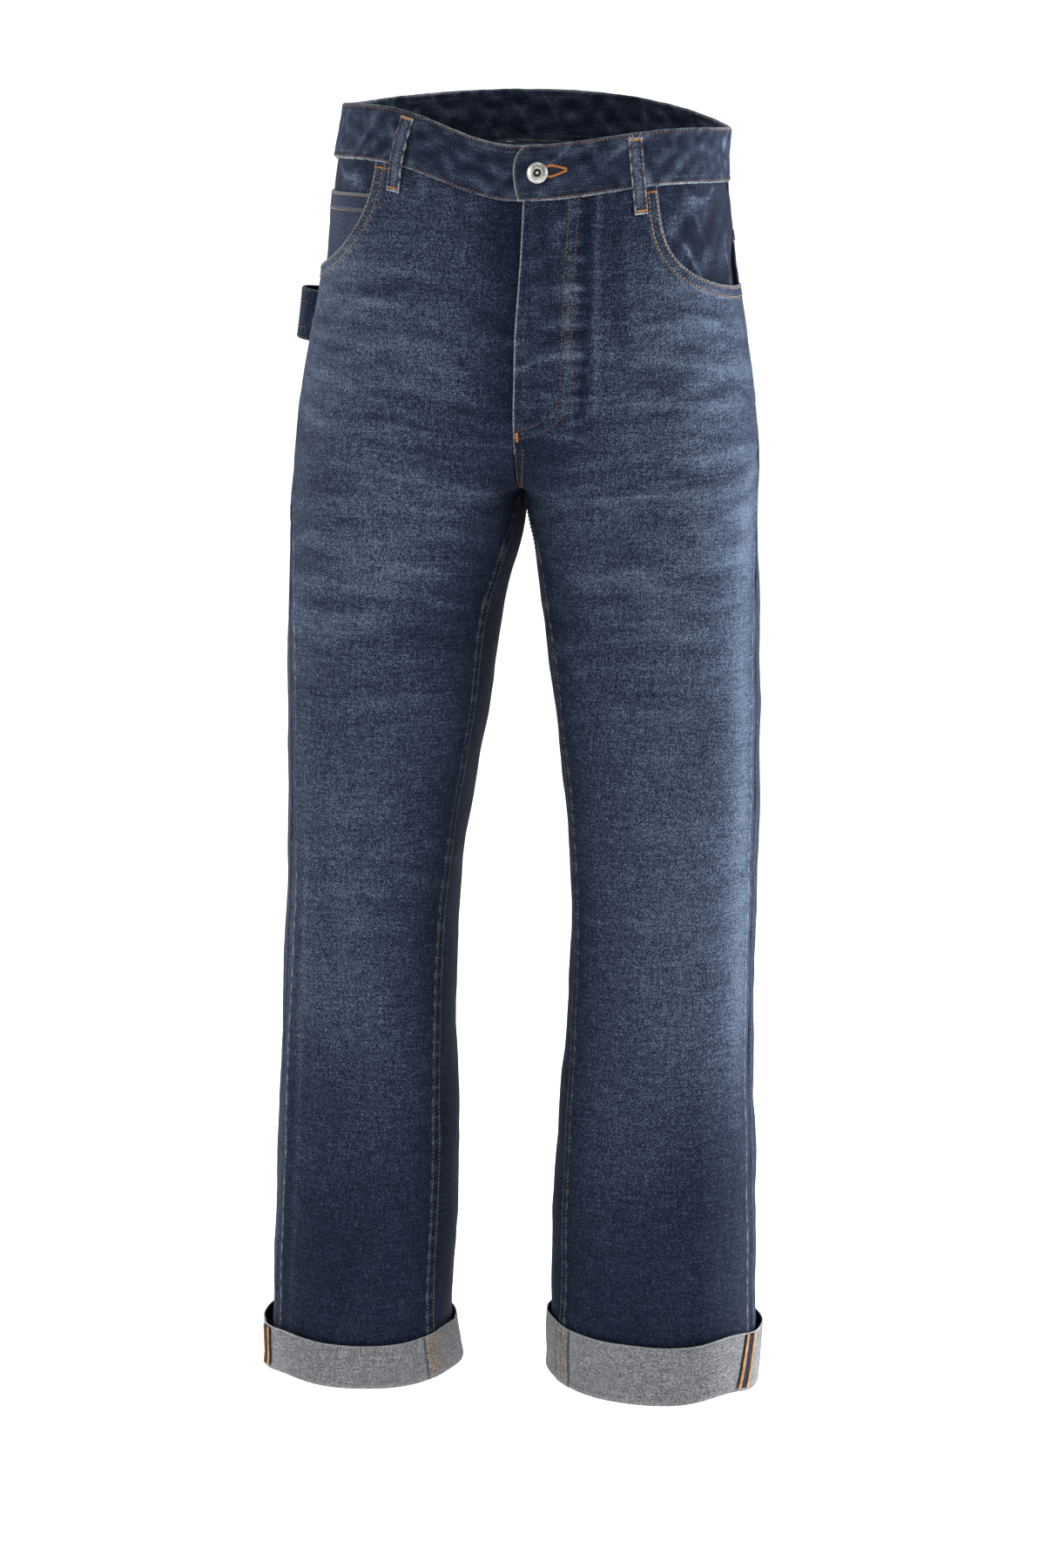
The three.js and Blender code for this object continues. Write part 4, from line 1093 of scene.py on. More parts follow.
COIN_TOP_H = 0.1
t, h = np.meshgrid(0.38 + 0.605 * spaced(130.0, 4.0), np.linspace(0, 1, 30))
h = mix(COIN_TOP_H, 0.42, h**1.2)
points, normals = facing_surface(RIGHT, t, h, 1.6 + 0.35 * bell((h - COIN_TOP_H) / 0.05))
u, v, _ = panel_mm(front_place, RIGHT, t, h)
below_top = (h - COIN_TOP_H) * RISE_LONG
looks = (0.26 + 0.06 * wavy(u, v, 34, 87), 0.8 * bell(below_top / 1.2) + 0.25 * bell((below_top - 11) / 1.2))
shell("coin_pocket", points, normals, 1.0, cloth_places(u, v, 16), looks, [band_denim])

# The strip behind the fly, inside both fronts
across, down = np.meshgrid(np.linspace(0, 1, 22), np.linspace(0, 1, 44))
x = mix(-20, 38 * (1 - 0.4 * ease((down - 0.7) / 0.3)), across)
shield_side = np.where(x < 0, RIGHT, LEFT)
z = height_at(shield_side, math.pi / 2, mix(0.004, 0.74, down))
points, normals = skin(shield_side, angle_at(shield_side, z, np.abs(x)), z, -DENIM - 0.8)
cloth = cloth_places(x, -z, 18)
shell("fly_shield", points, normals, THIN, cloth, (0.12, 0), [dark_denim, inside_reverse])

# Waistband
UNDER_END = -14.0
OVER_END = 360.9
BAND_ROUND = 1095.0
MM_TO_DEGREE = 360 / BAND_ROUND


def band_out(degrees):
    return BAND_PROUD + lap_rise(degrees)


def band_surface(degrees, above, lift=0.0):
    degrees, above = floats(degrees, above)
    side, angle, z = round_place(degrees, above)
    u = degrees / MM_TO_DEGREE
    ripple = 0.34 * wavy(u, above, 30, 91) + 0.30 * wavy(u + above, above * 1.6, 20, 96)
    ripple += 0.5 * crinkles(u + 0.6 * above, above * 0.7, 34, 97)
    rows_of_thread = bell((above - 3.5) / 3.5) + bell((above - BAND_HEIGHT + 3.5) / 3.5)
    ripple += 0.22 * np.sin(u / 2.7 + wavy(u, above, 40, 92)) * rows_of_thread
    out = band_out(degrees) + ripple + 0.35 * bell((above - BAND_HEIGHT / 2) / 14) + lift
    return skin(side, angle, z, out)


def over_end(above):
    """Where the over-lapping end of the band stops at each height: bowed, with a round top corner."""
    up = np.clip(above / BAND_HEIGHT, 0, 1)
    return OVER_END - MM_TO_DEGREE * (8.0 * up**7 + 3.0 * (1 - up) ** 2 - 1.5 * np.sin(math.pi * up))


columns = spaced((OVER_END - UNDER_END) / MM_TO_DEGREE, 2.9, (0.5, 1.2, 2.2))
rows = spaced(BAND_HEIGHT, 2.2, (0.3, 0.7, 1.2, 1.8, 2.6, 3.6))
columns, above = np.meshgrid(columns, rows * BAND_HEIGHT)
ends = over_end(above)
degrees = mix(UNDER_END, ends, columns)
from_end = (ends - degrees) / MM_TO_DEGREE
points, normals = band_surface(degrees, above)
u = degrees / MM_TO_DEGREE
edge = np.minimum(above, BAND_HEIGHT - above)
patches = 0.5 + 0.5 * wavy(u, above, 60, 95)
worn = (0.8 * bell(edge / 1.6) + 0.2 * bell((edge - 5.5) / 1.2)) * (0.5 + 0.8 * patches)
worn = worn * (0.8 + 0.35 * wavy(u, above, 5, 94))
worn += 0.9 * bell(from_end / 1.2) + 0.6 * bell((from_end - 3.6) / 0.8)
fade = 0.13 + 0.24 * wavy(u + above, above * 1.6, 20, 96) + 0.10 * bell((edge - 3) / 2.2) * np.sin(u / 2.7)
near_hole = 1 + 1.2 * bell((from_end - 75) / 45)
fade += 0.5 * near_hole * crinkles(u + 0.6 * above, above * 0.7, 34, 97) + 0.20 * wavy(u, above, 8, 98)
cloth = cloth_places(u, above, 20)
shell("waistband", points, normals, BAND_THICK, cloth, (fade, worn), [band_denim])

# Belt loops
LOOP_WIDE_DEGREES = 4.3
LOOP_TOP = 38.0
LOOP_BOTTOM = -20.0
LOOP_WIDE = 12.5
LOOP_LONG = LOOP_TOP - LOOP_BOTTOM
LOOP_FINE = (0.35, 0.9, 1.6)
BELT_LOOPS = {
    "belt_loop_front_right": (31.0, 33.4),
    "belt_loop_side_right": (122.0, 122.0),
    "belt_loop_back": (180.0, 180.0),
    "belt_loop_side_left": (238.0, 238.0),
    "belt_loop_front_left": (329.0, 327.0),
}


def loop_surface(name, down, across, lift=0.0):
    down, across = floats(down, across)
    top, bottom = BELT_LOOPS[name]
    degrees = mix(top, bottom, down) + LOOP_WIDE_DEGREES * (across - 0.5)
    above = mix(LOOP_TOP, LOOP_BOTTOM, down)
    seat = BAND_PROUD * ease((above + 8) / 6) + 0.45 + lap_rise(degrees)
    bow = 2.6 * np.sin(np.pi * np.clip(down, 0, 1)) ** 0.7
    edge_mm = to_edge(across) * LOOP_WIDE
    ridge = 0.35 * bell((edge_mm - 1.6) / 1.1) - 0.2 * bell((across - 0.5) / 0.16)
    side, angle, z = round_place(degrees, above)
    return skin(side, angle, z, seat + SEAM_GAP + 1.7 + bow + ridge + lift)


for name in BELT_LOOPS:
    across, down = np.meshgrid(spaced(LOOP_WIDE, 1.2, LOOP_FINE), spaced(LOOP_LONG, 1.8, LOOP_FINE))
    points, normals = loop_surface(name, down, across)
    edge = to_edge(across) * LOOP_WIDE
    ends = to_edge(down) * LOOP_LONG
    beat = 0.6 + 0.5 * np.sin(down * LOOP_LONG / 1.6)
    worn = 1.1 * bell(edge / 1.1) * beat + 1.1 * bell(ends / 1.5) + 0.2 * bell((edge - 4.5) / 0.9)
    fade = 0.48 + 0.25 * bell((across - 0.5) / 0.2) - 0.2 * bell((ends - 6) / 4)
    fade -= 0.3 * bell((edge - 2.4) / 0.9)
    cloth = cloth_places(across * LOOP_WIDE, down * LOOP_LONG, 23 + BELT_LOOPS[name][0] / 50)
    shell(name, points, normals, 1.9, cloth, (fade, worn), [band_denim])

# The strap that stands out behind the right outseam
STRAP_START = 183.0
STRAP_END = 204.0
STRAP_TOP_Z = -121.0
STRAP_BOTTOM_Z = -161.0
STRAP_HIGH = 40.0
STRAP_LONG = 62.0


def strap_surface(along, down, lift=0.0):
    along, down = floats(along, down)
    arch = np.sin(np.pi * np.clip((along - 0.04) / 0.9, 0, 1) ** 0.72) ** 0.62
    angle = mix(STRAP_START, STRAP_END, along) * DEG
    hems = 0.3 * bell((to_edge(down) * STRAP_HIGH - 4.5) / 3)
    out = SEAM_GAP + 2.0 + (19.0 - 3 * down) * arch + hems + lift
    return skin(RIGHT, angle, mix(STRAP_TOP_Z, STRAP_BOTTOM_Z, down), out)


along, down = np.meshgrid(np.linspace(0, 1, 64), spaced(STRAP_HIGH, 1.8, LOOP_FINE))
points, normals = strap_surface(along, down)
edge = to_edge(down) * STRAP_HIGH
fade = 0.10 + 0.06 * wavy(along * STRAP_LONG, down * STRAP_HIGH, 20, 99)
looks = (fade, 0.42 * bell(edge))
cloth = cloth_places(down * STRAP_HIGH, along * STRAP_LONG, 29)
shell("hammer_loop", points, normals, 2.0, cloth, looks, [dark_denim])

# Cuffs
CUFF_HEIGHT = {RIGHT: 38.0, LEFT: 50.0}
CUFF_LEAN_OUTER = {RIGHT: 2.4, LEFT: 1.2}
CUFF_LEAN_INNER = {RIGHT: -1.4, LEFT: -1.2}
CUFF_COLUMNS = 210
CUFF_ROWS = 28
FOLD_ROWS = 12
CUFF_RADIUS = 78
CUFF_INSEAM = {RIGHT: 4.0, LEFT: 7.0}


def cuff_inseam(side, away):
    """The angle so many millimetres in front of the inseam's middle on a cuff."""
    return inseam_angle(HEM_Z) + (CUFF_INSEAM[side] + away) / CUFF_RADIUS


def cuff_lean(side, angle, up):
    """How far a cuff leans out, by the share of its height."""
    return mix(CUFF_LEAN_INNER[side], CUFF_LEAN_OUTER[side], (1 - np.cos(angle)) / 2) * up


def cuff_ripple(side, angle, up):
    return 0.8 * wavy(angle * CUFF_RADIUS, up * 40, 55, 101 + side)


def cuff_surface(side, angle, turn, up, lift=0.0):
    """turn goes from 0 inside the fold to pi on its outside, and up is the share of the cuff's height."""
    u = angle * CUFF_RADIUS
    from_seam = (angle - cuff_inseam(side, 0)) * CUFF_RADIUS
    seam_bump = 0.8 * ease((from_seam + 8) / 2) * ease((11 - from_seam) / 1.2)
    ripple = (cuff_ripple(side, angle, up) + 0.25 * wavy(u, up * 40, 16, 103 + side)) * ease(up * 3)
    radius = CUFF_GAP / 2 + DENIM + lift
    z = HEM_Z + CUFF_FOLD - radius * np.sin(turn) + up * (CUFF_HEIGHT[side] - CUFF_FOLD)
    z = z + up * (1.2 * wavy(u, 0 * u, 120, 105 + side))
    out = CUFF_GAP / 2 - radius * np.cos(turn) + cuff_lean(side, angle, up)
    return skin(side, angle, z, out + (ripple + seam_bump) * (turn > 2))


turns = np.concatenate([np.linspace(0, math.pi, FOLD_ROWS), np.full(CUFF_ROWS, math.pi)])
ups = spaced(40.0, 1.8, (0.35, 0.8, 1.4))[1:]
ups = np.interp(np.linspace(0, 1, CUFF_ROWS), np.linspace(0, 1, len(ups)), ups)
ups = np.concatenate([np.zeros(FOLD_ROWS), ups])
angles = np.arange(CUFF_COLUMNS) / CUFF_COLUMNS * math.tau
for side, word in SIDES:
    angle, turn = np.meshgrid(angles, turns)
    up = np.broadcast_to(ups[:, None], angle.shape)
    points, normals = cuff_surface(side, angle, turn, up)
    middle, _ = skin(side, angle, np.full(angle.shape, HEM_Z + CUFF_FOLD), CUFF_GAP / 2)
    toward = points - middle
    toward[up > 0] = normals[up > 0]
    v = np.where(up > 0, up * CUFF_HEIGHT[side], -turn * 3)
    below_top = (1 - up) * CUFF_HEIGHT[side]
    worn = 0.8 * bell(below_top) + 0.3 * bell((up * CUFF_HEIGHT[side] + 1) / 3) * (turn > 1)
    cloth = cloth_places(angle * CUFF_RADIUS, v, 31 + side * 0.5)
    from_seam = (angle - cuff_inseam(side, 0)) * CUFF_RADIUS
    worn += 0.4 * bell(from_seam - 10) - 0.9 * bell((from_seam - 11.3) / 0.9)
    materials = [grey_reverse, front_denim]
    name = f"cuff_{word}"
    shell(name, points, toward, DENIM, cloth, (0, worn), materials, True, 0.35)

# The raw edges of the outseam on the cuffs, each bound with thread, with dark cloth between them
SEAM_STRIP = 17.0
SEAM_STRIP_TURN = {RIGHT: 0.0, LEFT: 13.0}
SEAM_STRIP_LEAN = {RIGHT: 0.0, LEFT: 12.0}


def strip_surface(side, across, up, lift=0.0):
    across, up = floats(across, up)
    above = mix(CUFF_FOLD + 1, CUFF_HEIGHT[side] - 0.5, up)
    z = HEM_Z + above
    from_middle = (across - 0.5) * SEAM_STRIP - SEAM_STRIP_LEAN[side] * (0.7 - up)
    angle = outseam_angle(side, z) - SEAM_STRIP_TURN[side] * DEG + from_middle / FOLD_RADIUS
    share = (above - CUFF_FOLD) / (CUFF_HEIGHT[side] - CUFF_FOLD)
    hump = 0.5 * (bell((across - 0.17) / 0.13) + bell((across - 0.83) / 0.13))
    out = CUFF_GAP + DENIM + cuff_lean(side, angle, share) + SEAM_GAP + 0.9 + hump
    return skin(side, angle, z, out + cuff_ripple(side, angle, share) * ease(share * 3) + lift)


for side, word in SIDES:
    across, up = np.meshgrid(np.linspace(0, 1, 19), np.linspace(0, 1, 26))
    points, normals = strip_surface(side, across, up)
    cloth = cloth_places(across * SEAM_STRIP, up * 40, 34 + side * 0.5)
    shell(f"cuff_seam_{word}", points, normals, 1.0, cloth, (0.08, 0), [dark_denim])

# Stitches
stitch_sets = {}


def smooth_path(corners, count=300):
    corners = np.asarray(corners, float)
    padded = np.concatenate([2 * corners[:1] - corners[1:2], corners, 2 * corners[-1:] - corners[-2:-1]])
    where = np.linspace(0, len(corners) - 1, count)
    i = np.clip(where.astype(int), 0, len(corners) - 2)
    s = (where - i)[:, None]
    p0, p1, p2, p3 = (padded[i + k] for k in range(4))
    bend = (2 * p0 - 5 * p1 + 4 * p2 - p3) * s**2
    twist = (3 * p1 - p0 - 3 * p2 + p3) * s**3
    return 0.5 * (2 * p1 + (p2 - p0) * s + bend + twist)


def on_path(where, along, values):
    """Vectors between those at some distances along a path."""
    return np.stack([np.interp(where, along, values[:, k]) for k in range(3)], axis=1)


def sew(group, points, normals, pitch=3.3, share=0.76, width=0.62, height=0.42):
    """Adds a row of stitches along a path that lies on the cloth. Each has four sides and sunk ends."""
    steps = np.linalg.norm(np.diff(points, axis=0), axis=-1)
    along = np.concatenate([[0], np.cumsum(steps)])
    count = max(int(along[-1] / pitch), 1)
    starts = (np.arange(count) + (1 - share) / 2) * along[-1] / count
    length = share * along[-1] / count
    heads, tails = on_path(starts, along, points), on_path(starts + length, along, points)
    normal = on_path(starts + length / 2, along, normals)
    normal /= np.linalg.norm(normal, axis=1, keepdims=True)
    direction = tails - heads
    direction /= np.maximum(np.linalg.norm(direction, axis=1, keepdims=True), 1e-9)
    across = np.cross(direction, normal)
    rings = []
    for position, size, lift in ((0, 0.35, -0.28), (0.24, 0.95, 0.05), (0.76, 1.0, 0.05), (1, 0.35, -0.28)):
        centre = mix(heads, tails, position) + normal * lift
        for turn in range(4):
            angle = turn * math.pi / 2
            offset = across * (math.cos(angle) * width * size) + normal * (math.sin(angle) * height * size)
            rings.append(centre + offset)
    verts = np.stack(rings, axis=1)
    quads = [(0, 1, 2, 3)]
    for ring in range(3):
        for k in range(4):
            a, b = ring * 4 + k, ring * 4 + (k + 1) % 4
            quads.append((a, a + 4, b + 4, b))
    quads.append((15, 14, 13, 12))
    group = stitch_sets.setdefault(group, [[], [], 0])
    faces = np.asarray(quads)[None] + (np.arange(count) * 16)[:, None, None] + group[2]
    group[0].append(verts.reshape(-1, 3))
    group[1].append(faces.reshape(-1, 4))
    group[2] += count * 16


def sew_on(group, surface, *places, lift=0.12, **how):
    sew(group, *surface(*places, lift), **how)


def sew_down(group, place, surface, side, aways, start, end, count):
    """Rows down a panel, so many millimetres from its first edge, or from its last one if below 0."""
    h = np.linspace(start, end, count)
    for away in aways:
        t = away / panel_mm(place, side, 0, h)[2]
        sew_on(group, surface, side, t if away > 0 else 1 + t, h)


def bar_tack(group, points, normals, wide=2.2, passes=9):
    """A dense zigzag across a short path."""
    steps = np.linspace(0, 1, passes * 2 + 1)
    along = np.linspace(0, 1, len(points))
    path, normal = on_path(steps, along, points), on_path(steps, along, normals)
    direction = (points[-1] - points[0]) / np.linalg.norm(points[-1] - points[0])
    swing = np.where(np.arange(len(steps)) % 2 == 0, -0.5, 0.5)[:, None] * wide
    path = path + np.cross(direction, normal) * swing
    for i in range(len(path) - 1):
        sew(group, path[i : i + 2], normal[i : i + 2], pitch=50, share=1.06, width=0.36, height=0.34)


def xz_on_left(corners, lift=0.12):
    """Points on the left front from X and Z."""
    path = smooth_path(corners)
    x, z = path[:, 0], path[:, 1]
    h = (z - WAIST_FRONT_Z) / (CROTCH_Z - WAIST_FRONT_Z)
    start, end = front_start(LEFT, z), outseam_angle(LEFT, z)
    t = (angle_at(LEFT, z, np.maximum(x, 0.5)) - start) / (end - start)
    return front_surface(LEFT, t, h, lift)


for corners in FLY_ROWS:
    sew("stitches_fly", *xz_on_left(corners), pitch=3.1)
bar_tack("bar_tacks", *xz_on_left([(3.0, -216.5), (3.4, -223.5)], 0.2), wide=2.6, passes=7)
for side, _ in SIDES:
    corner = mouth_edge(side, 0.0)[0]
    tack = front_surface(side, corner - np.linspace(0.006, 0.05, 10), 0.016, 0.2)
    bar_tack("bar_tacks", *tack, wide=1.6, passes=7)

# Rows beside the mouths of the front pockets and down the legs
for side, word in SIDES:
    group = f"stitches_front_{word}"
    edge_t, edge_h = mouth_edge(side, np.linspace(0.02, 0.99, 260))
    u, v = edge_t * PANEL_WIDE, edge_h * RISE_LONG
    along_u, along_v = np.gradient(u), np.gradient(v)
    long = np.maximum(np.hypot(along_u, along_v), 1e-6)
    for away in (2.0, 8.2):
        t, h = (u - along_v / long * away) / PANEL_WIDE, (v + along_u / long * away) / RISE_LONG
        kept = (h > 0.012) & (t < 0.992)
        sew_on("stitches_mouth_" + word, front_surface, side, t[kept], h[kept])
    sew_down(group, front_place, front_surface, side, (2.1, 8.8), 1.004, LEG_END_H + 0.998, 900)
    sew_down(group, front_place, front_surface, side, (-2.0,), 0.36, 0.72, 200)
sew_down("stitches_fly", front_place, front_surface, LEFT, (2.0, 8.0), 0.83, 0.985, 60)

# The small pocket's top
t = np.linspace(0.40, 0.975, 120)
for below in (1.8, 12.5):
    sew_on("stitches_mouth_right", facing_surface, RIGHT, t, COIN_TOP_H + below / RISE_LONG, lift=1.85)

# The yokes, the centre back and the patch pockets
for side, word in SIDES:
    group = f"stitches_back_{word}"
    t = np.linspace(0.01, 0.985, 300)
    for below in (2.0, 8.2):
        sew_on(group, back_surface, side, t, yoke_h(t) + below / RISE_LONG)
    if side == LEFT:
        sew_down(group, back_place, back_surface, side, (-2.0, -8.2), 0.01, 0.99, 300)
    for away in (1.8, 8.0):
        x, y = away / PATCH_WIDE, 1 - away / PATCH_LONG
        for start, end in (((x, 0), (x, y)), ((x, y), (1 - x, y)), ((1 - x, y), (1 - x, 0))):
            sew_on(group, patch_surface, side, *np.linspace(start, end, 80).T)
    for below in (2.0, 14.0):
        sew_on(group, patch_surface, side, np.linspace(0.03, 0.97, 100), below / PATCH_LONG)
    for corner in (0.03, 0.97):
        tack = patch_surface(side, corner, np.linspace(0.005, 0.06, 8), 0.3)
        bar_tack("bar_tacks", *tack, wide=2.0, passes=6)

# The waistband, round both edges and down its end
round_path = np.linspace(UNDER_END + 1.0, OVER_END - 3.2, 1600)
for above in (2.3, BAND_HEIGHT - 2.4):
    sew_on("stitches_waistband", band_surface, round_path, above, lift=0.1)
end_path = np.linspace(2.4, BAND_HEIGHT - 2.4, 80)
end_degrees = over_end(end_path) - 2.4 * MM_TO_DEGREE
sew_on("stitches_waistband", band_surface, end_degrees, end_path)

for name in BELT_LOOPS:
    for across in (0.2, 0.8):
        down = np.linspace(0.03, 0.97, 80)
        sew_on("stitches_loops", loop_surface, name, down, across, width=0.42, height=0.36)
    for down in (0.03, 0.945):
        tack = loop_surface(name, down, np.linspace(0.14, 0.86, 12), 0.25)
        bar_tack("bar_tacks", *tack, wide=1.5, passes=9)

for down in (0.05, 0.27, 0.76, 0.95):
    sew_on("stitches_strap", strap_surface, np.linspace(0.04, 0.96, 200), down)

for side, word in SIDES:
    up = np.linspace(0.06, 0.97, 60)
    for away in (-5.0, 2.2, 7.4):
        angle = cuff_inseam(side, away)
        sew_on(
            "stitches_cuff_" + word, cuff_surface, side, angle, math.pi, up, lift=0.2, pitch=2.8, width=0.75
        )
    for across in (0.15, 0.85):
        points, normals = strip_surface(side, across, np.linspace(0, 1, 40), 0.15)
        bar_tack("bound_edges", points, normals, wide=4.6, passes=30)
        bar_tack("bound_edges", points[::-1], normals[::-1], wide=4.2, passes=26)

# The buttonhole's ring of thread, with its keyhole end towards the button
HOLE_ABOVE = 21.8
HOLE_X = 26.0
HOLE_HALF = 6.8
LAP_RADIUS = 150.0


def lap_degrees(x):
    """Degrees round the waist of a place so many millimetres to the left of the middle."""
    return 360 - x / LAP_RADIUS / DEG * 0.985


hole = []
for turn in np.linspace(0, math.tau, 64):
    x = HOLE_X + HOLE_HALF * math.cos(turn)
    wide = 0.4 + 3.9 * np.clip((HOLE_X + HOLE_HALF - x) / 12, 0, 1)
    hole.append((x, wide * np.sign(math.sin(turn)) * abs(math.sin(turn)) ** 0.5))
hole = np.asarray(hole)
hole_degrees = lap_degrees(hole[:, 0])
ring, ring_normals = band_surface(hole_degrees, HOLE_ABOVE + hole[:, 1], 0.15)
outward = ring - band_surface(hole_degrees, HOLE_ABOVE, 0.15)[0]
outward /= np.maximum(np.linalg.norm(outward, axis=1, keepdims=True), 1e-6)
for i in range(len(ring) - 1):
    spoke = np.stack([ring[i] - outward[i] * 0.5, ring[i] + outward[i] * 1.5])
    sew("buttonhole", spoke, ring_normals[i : i + 2], pitch=50, share=1.0, width=0.42, height=0.4)

# A few loose white threads at the top of the front left belt loop
rng = np.random.default_rng(7)
top, top_normals = loop_surface("belt_loop_front_left", 0.02, np.linspace(0.15, 0.85, 7), 0.5)
for point, normal in zip(top, top_normals):
    for _ in range(2):
        lean = np.array([rng.uniform(-0.8, 0.8), -0.3, rng.uniform(0.1, 0.9)])
        steps = np.linspace(0, 1, 5)[:, None]
        curl = np.array([rng.uniform(-2, 2), rng.uniform(-1, 0.3), rng.uniform(-2, 1)])
        path = point + lean * steps * 4 + curl * steps**2
        sew("loose_threads", path, np.tile(normal, (5, 1)), pitch=1.1, share=1.1, width=0.16, height=0.16)

# Each group of stitches is one piece
for group, (verts, faces, _) in stitch_sets.items():
    faces = np.concatenate(faces).tolist()
    link(group, np.concatenate(verts), faces, [thread_of[group]])

# Button: radius and height of its turned form
BUTTON_PROFILE = [
    (0.02, 2.0), (0.7, 1.9), (1.2, 1.6), (1.5, 1.1), (1.8, 0.8), (2.5, 0.75), (2.8, 0.9),
    (3.0, 1.9), (3.2, 2.5), (3.6, 2.75), (4.3, 2.7), (5.4, 2.45), (6.5, 2.1), (7.4, 1.7),
    (7.9, 1.3), (8.15, 0.8), (8.0, 0.3), (7.6, 0.05), (0.02, 0.0),
]
BUTTON_DEGREES = 355.0
SEGMENTS = 72
angles = np.arange(SEGMENTS) / SEGMENTS * math.tau
lathe = np.array([[r * math.cos(a), r * math.sin(a), height] for r, height in BUTTON_PROFILE for a in angles])
seat, seat_normal = band_surface(np.array([BUTTON_DEGREES]), BAND_HEIGHT / 2, 0.05)
turned = np.array(Vector((0, 0, 1)).rotation_difference(Vector(seat_normal[0])).to_matrix())
index = grid_index(len(BUTTON_PROFILE), SEGMENTS, True)
faces = [*grid_quads(index).tolist(), index[0, :-1].tolist(), index[-1, -2::-1].tolist()]
radius = np.hypot(lathe[:, 0], lathe[:, 1])
metal = Nodes("button_metal")
distance = metal.value("ring")
place = metal.place()
brushed = metal.noise(place, (900.0, 900.0, 900.0), 2.0)
stain = metal.noise(place, (260.0, 260.0, 260.0), 3.0, 0.7)
sunk = metal.ramp(metal.math("ABSOLUTE", metal.math("SUBTRACT", distance, 2.1)), 0.6, 1.0, 1.0, 0.0)
steel = metal.blend(metal.ramp(stain, 0.35, 0.7), colour(196, 195, 190), colour(150, 149, 146))
base = metal.blend(metal.math("MULTIPLY", sunk, 0.92), steel, colour(24, 24, 26))
rough = metal.ramp(metal.math("ADD", brushed, metal.math("MULTIPLY", stain, 0.5)), 0.4, 1.0, 0.24, 0.5)
button_metal = metal.finish(base, rough, brushed, 0.00008, 0.3, Metallic=0.9)
button = link("button_shank", lathe @ turned.T + seat[0], faces, [button_metal], [("ring", radius)])
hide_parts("button")

# A dark sheet inside the buttonhole's ring, painted shade in its slit
x, z = np.meshgrid(np.linspace(0, 1, 12), np.linspace(-0.5, 0.5, 4))
degrees = lap_degrees(mix(HOLE_X - 6.5, HOLE_X + 6.0, x))
points, _ = band_surface(degrees, HOLE_ABOVE + z * (0.6 + 6.6 * (1 - x)), 0.12)
nodes = Nodes("buttonhole_slit")
mottle = nodes.noise(nodes.place(), (900.0, 900.0, 900.0))
slit_shade = nodes.finish(nodes.blend(mottle, colour(8, 10, 18), colour(20, 24, 38)), 0.95)
faces = grid_quads(grid_index(*x.shape)).tolist()
slit = link("buttonhole_slit", points.reshape(-1, 3), faces, [slit_shade])

# Stage
FLOOR_Z = -1.12


def stage_material(name, tone, glow):
    """Almost plain, and lit a little from itself, as a studio's sweep is by its own lamps."""
    nodes = Nodes(name)
    place = nodes.place()
    cloudy = nodes.noise(place, (1.5, 1.5, 1.5), 2.0)
    base = nodes.blend(cloudy, colour(tone, tone, tone), colour(tone - 5, tone - 5, tone - 4))
    nodes.put(nodes.shader.inputs["Emission Color"], colour(255, 255, 255))
    return nodes.finish(base, 0.9, Emission_Strength=glow)


# The floor curves up into a wall behind. The profile is Y and height, in metres as the stage is.
profile = [(-14.0, 0.0), (8.0, 0.0)]
for k in range(1, 17):
    turn = k / 16 * math.pi / 2
    profile.append((8.0 + 2.0 * math.sin(turn), 2.0 * (1 - math.cos(turn))))
profile.append((10.0, 9.0))
verts = [(x, y, FLOOR_Z + z) for y, z in profile for x in (-16.0, 16.0)]
quads = [(2 * i, 2 * i + 1, 2 * i + 3, 2 * i + 2) for i in range(len(profile) - 1)]
add_mesh("floor", verts, quads, [stage_material("studio_floor", 236, 0.75)])

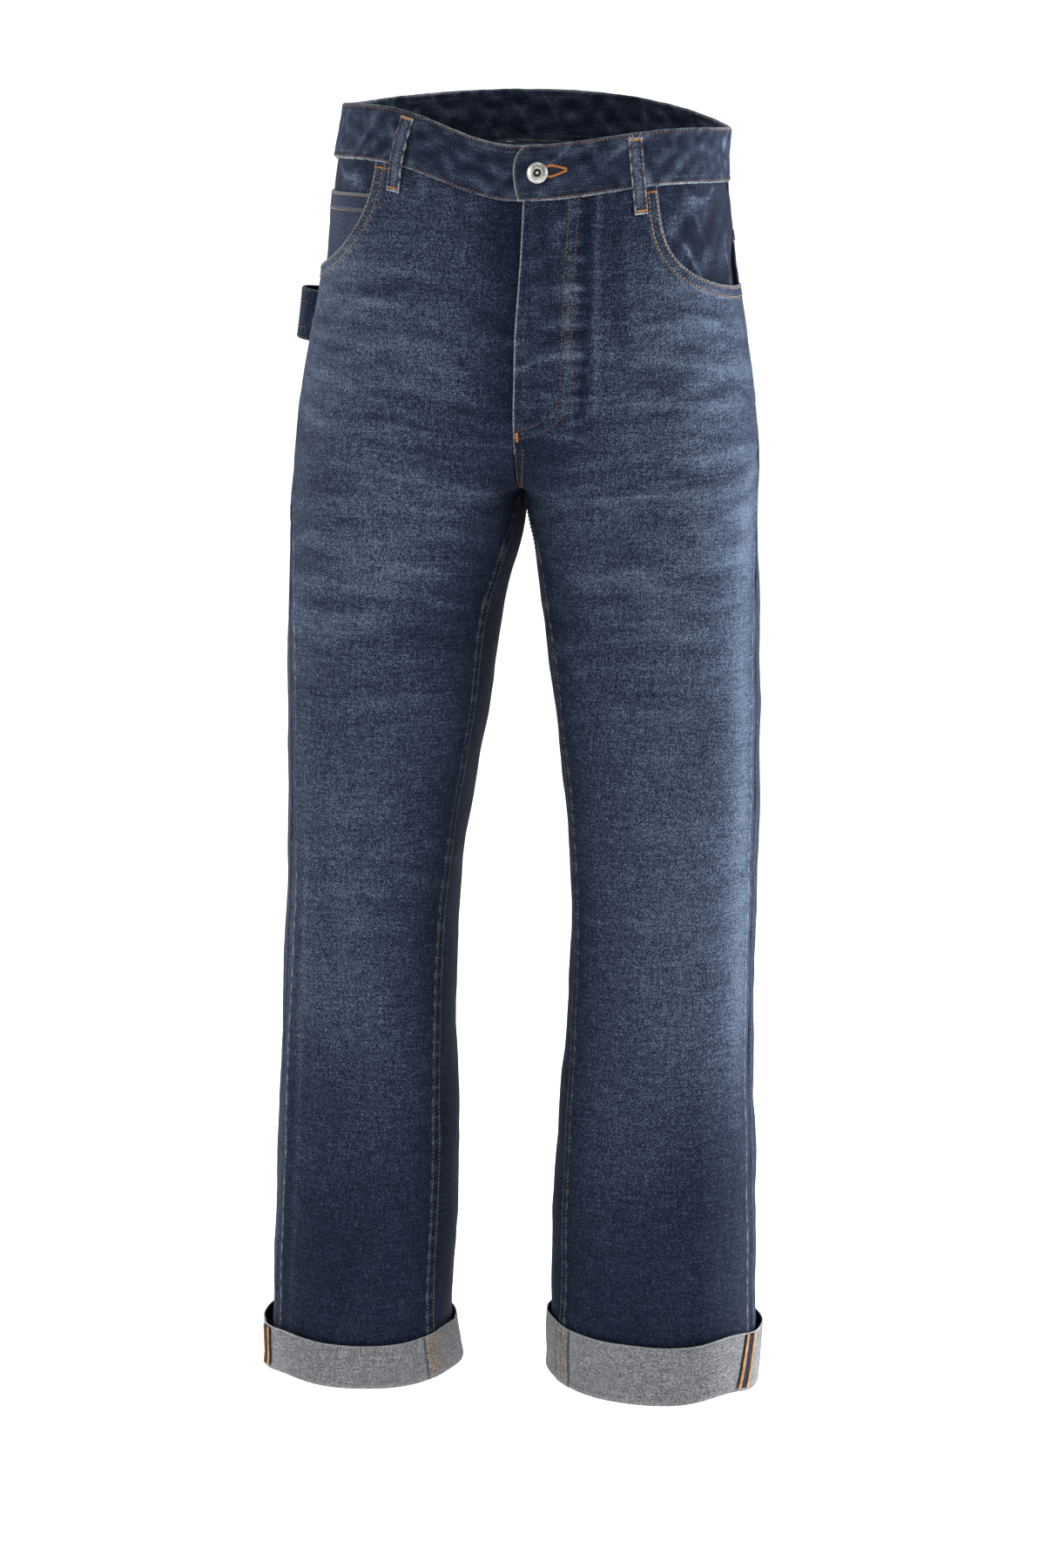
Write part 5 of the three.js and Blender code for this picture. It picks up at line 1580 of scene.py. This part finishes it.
world = bpy.data.worlds.new("studio")
bpy.context.scene.world = world
world.use_nodes = True
background = world.node_tree.nodes["Background"]
background.inputs["Color"].default_value = (0.93, 0.96, 1.0, 1.0)
background.inputs["Strength"].default_value = 0.25
bpy.context.scene.view_settings.view_transform = "Standard"


def area_light(name, place, size, power, aim, tint=(1.0, 1.0, 1.0)):
    data = bpy.data.lights.new(name, "AREA")
    data.shape = "RECTANGLE"
    data.size, data.size_y = size
    data.energy = power
    data.color = tint
    light = bpy.data.objects.new(name, data)
    light.location = place
    light.rotation_mode = "QUATERNION"
    light.rotation_quaternion = (Vector(aim) - Vector(place)).to_track_quat("-Z", "Y")
    bpy.context.scene.collection.objects.link(light)


RIM_TINT = (0.92, 0.95, 1.0)
area_light("key_left", (-2.2, -2.3, 0.6), (1.2, 2.0), 50, (0, 0, -0.5))
area_light("key_right", (2.4, -1.5, 0.4), (1.0, 2.2), 26, (0.1, 0, -0.5), (0.97, 0.98, 1.0))
area_light("rim_right", (2.2, 0.6, -0.2), (0.6, 2.0), 126, (0.15, 0, -0.55), RIM_TINT)
area_light("rim_left", (-2.2, 0.7, -0.2), (0.6, 2.0), 60, (-0.15, 0, -0.55), RIM_TINT)
area_light("top", (0.2, -1.2, 2.4), (1.6, 1.6), 11, (0, 0, -0.3))

# Camera, at the photo's angle
AZIMUTH = 6.5 * DEG
ELEVATION = 10.8 * DEG
ROLL = 1.1 * DEG
DISTANCE = 2.95
TARGET = Vector((0, 0, -0.510))
level = Vector((math.cos(AZIMUTH), math.sin(AZIMUTH), 0))
facing = Vector((-math.sin(AZIMUTH), math.cos(AZIMUTH), 0))
ahead = facing * math.cos(ELEVATION) - Vector((0, 0, math.sin(ELEVATION)))
upward = level.cross(ahead)
camera_right = level * math.cos(ROLL) + upward * math.sin(ROLL)
camera_up = upward * math.cos(ROLL) - level * math.sin(ROLL)
camera_data = bpy.data.cameras.new("camera")
camera_data.lens = 84
camera_data.sensor_width = 36
camera = bpy.data.objects.new("camera", camera_data)
turned = Matrix((camera_right, camera_up, -ahead)).transposed()
camera.matrix_world = Matrix.Translation(TARGET - ahead * DISTANCE) @ turned.to_4x4()
bpy.context.scene.collection.objects.link(camera)
bpy.context.scene.camera = camera
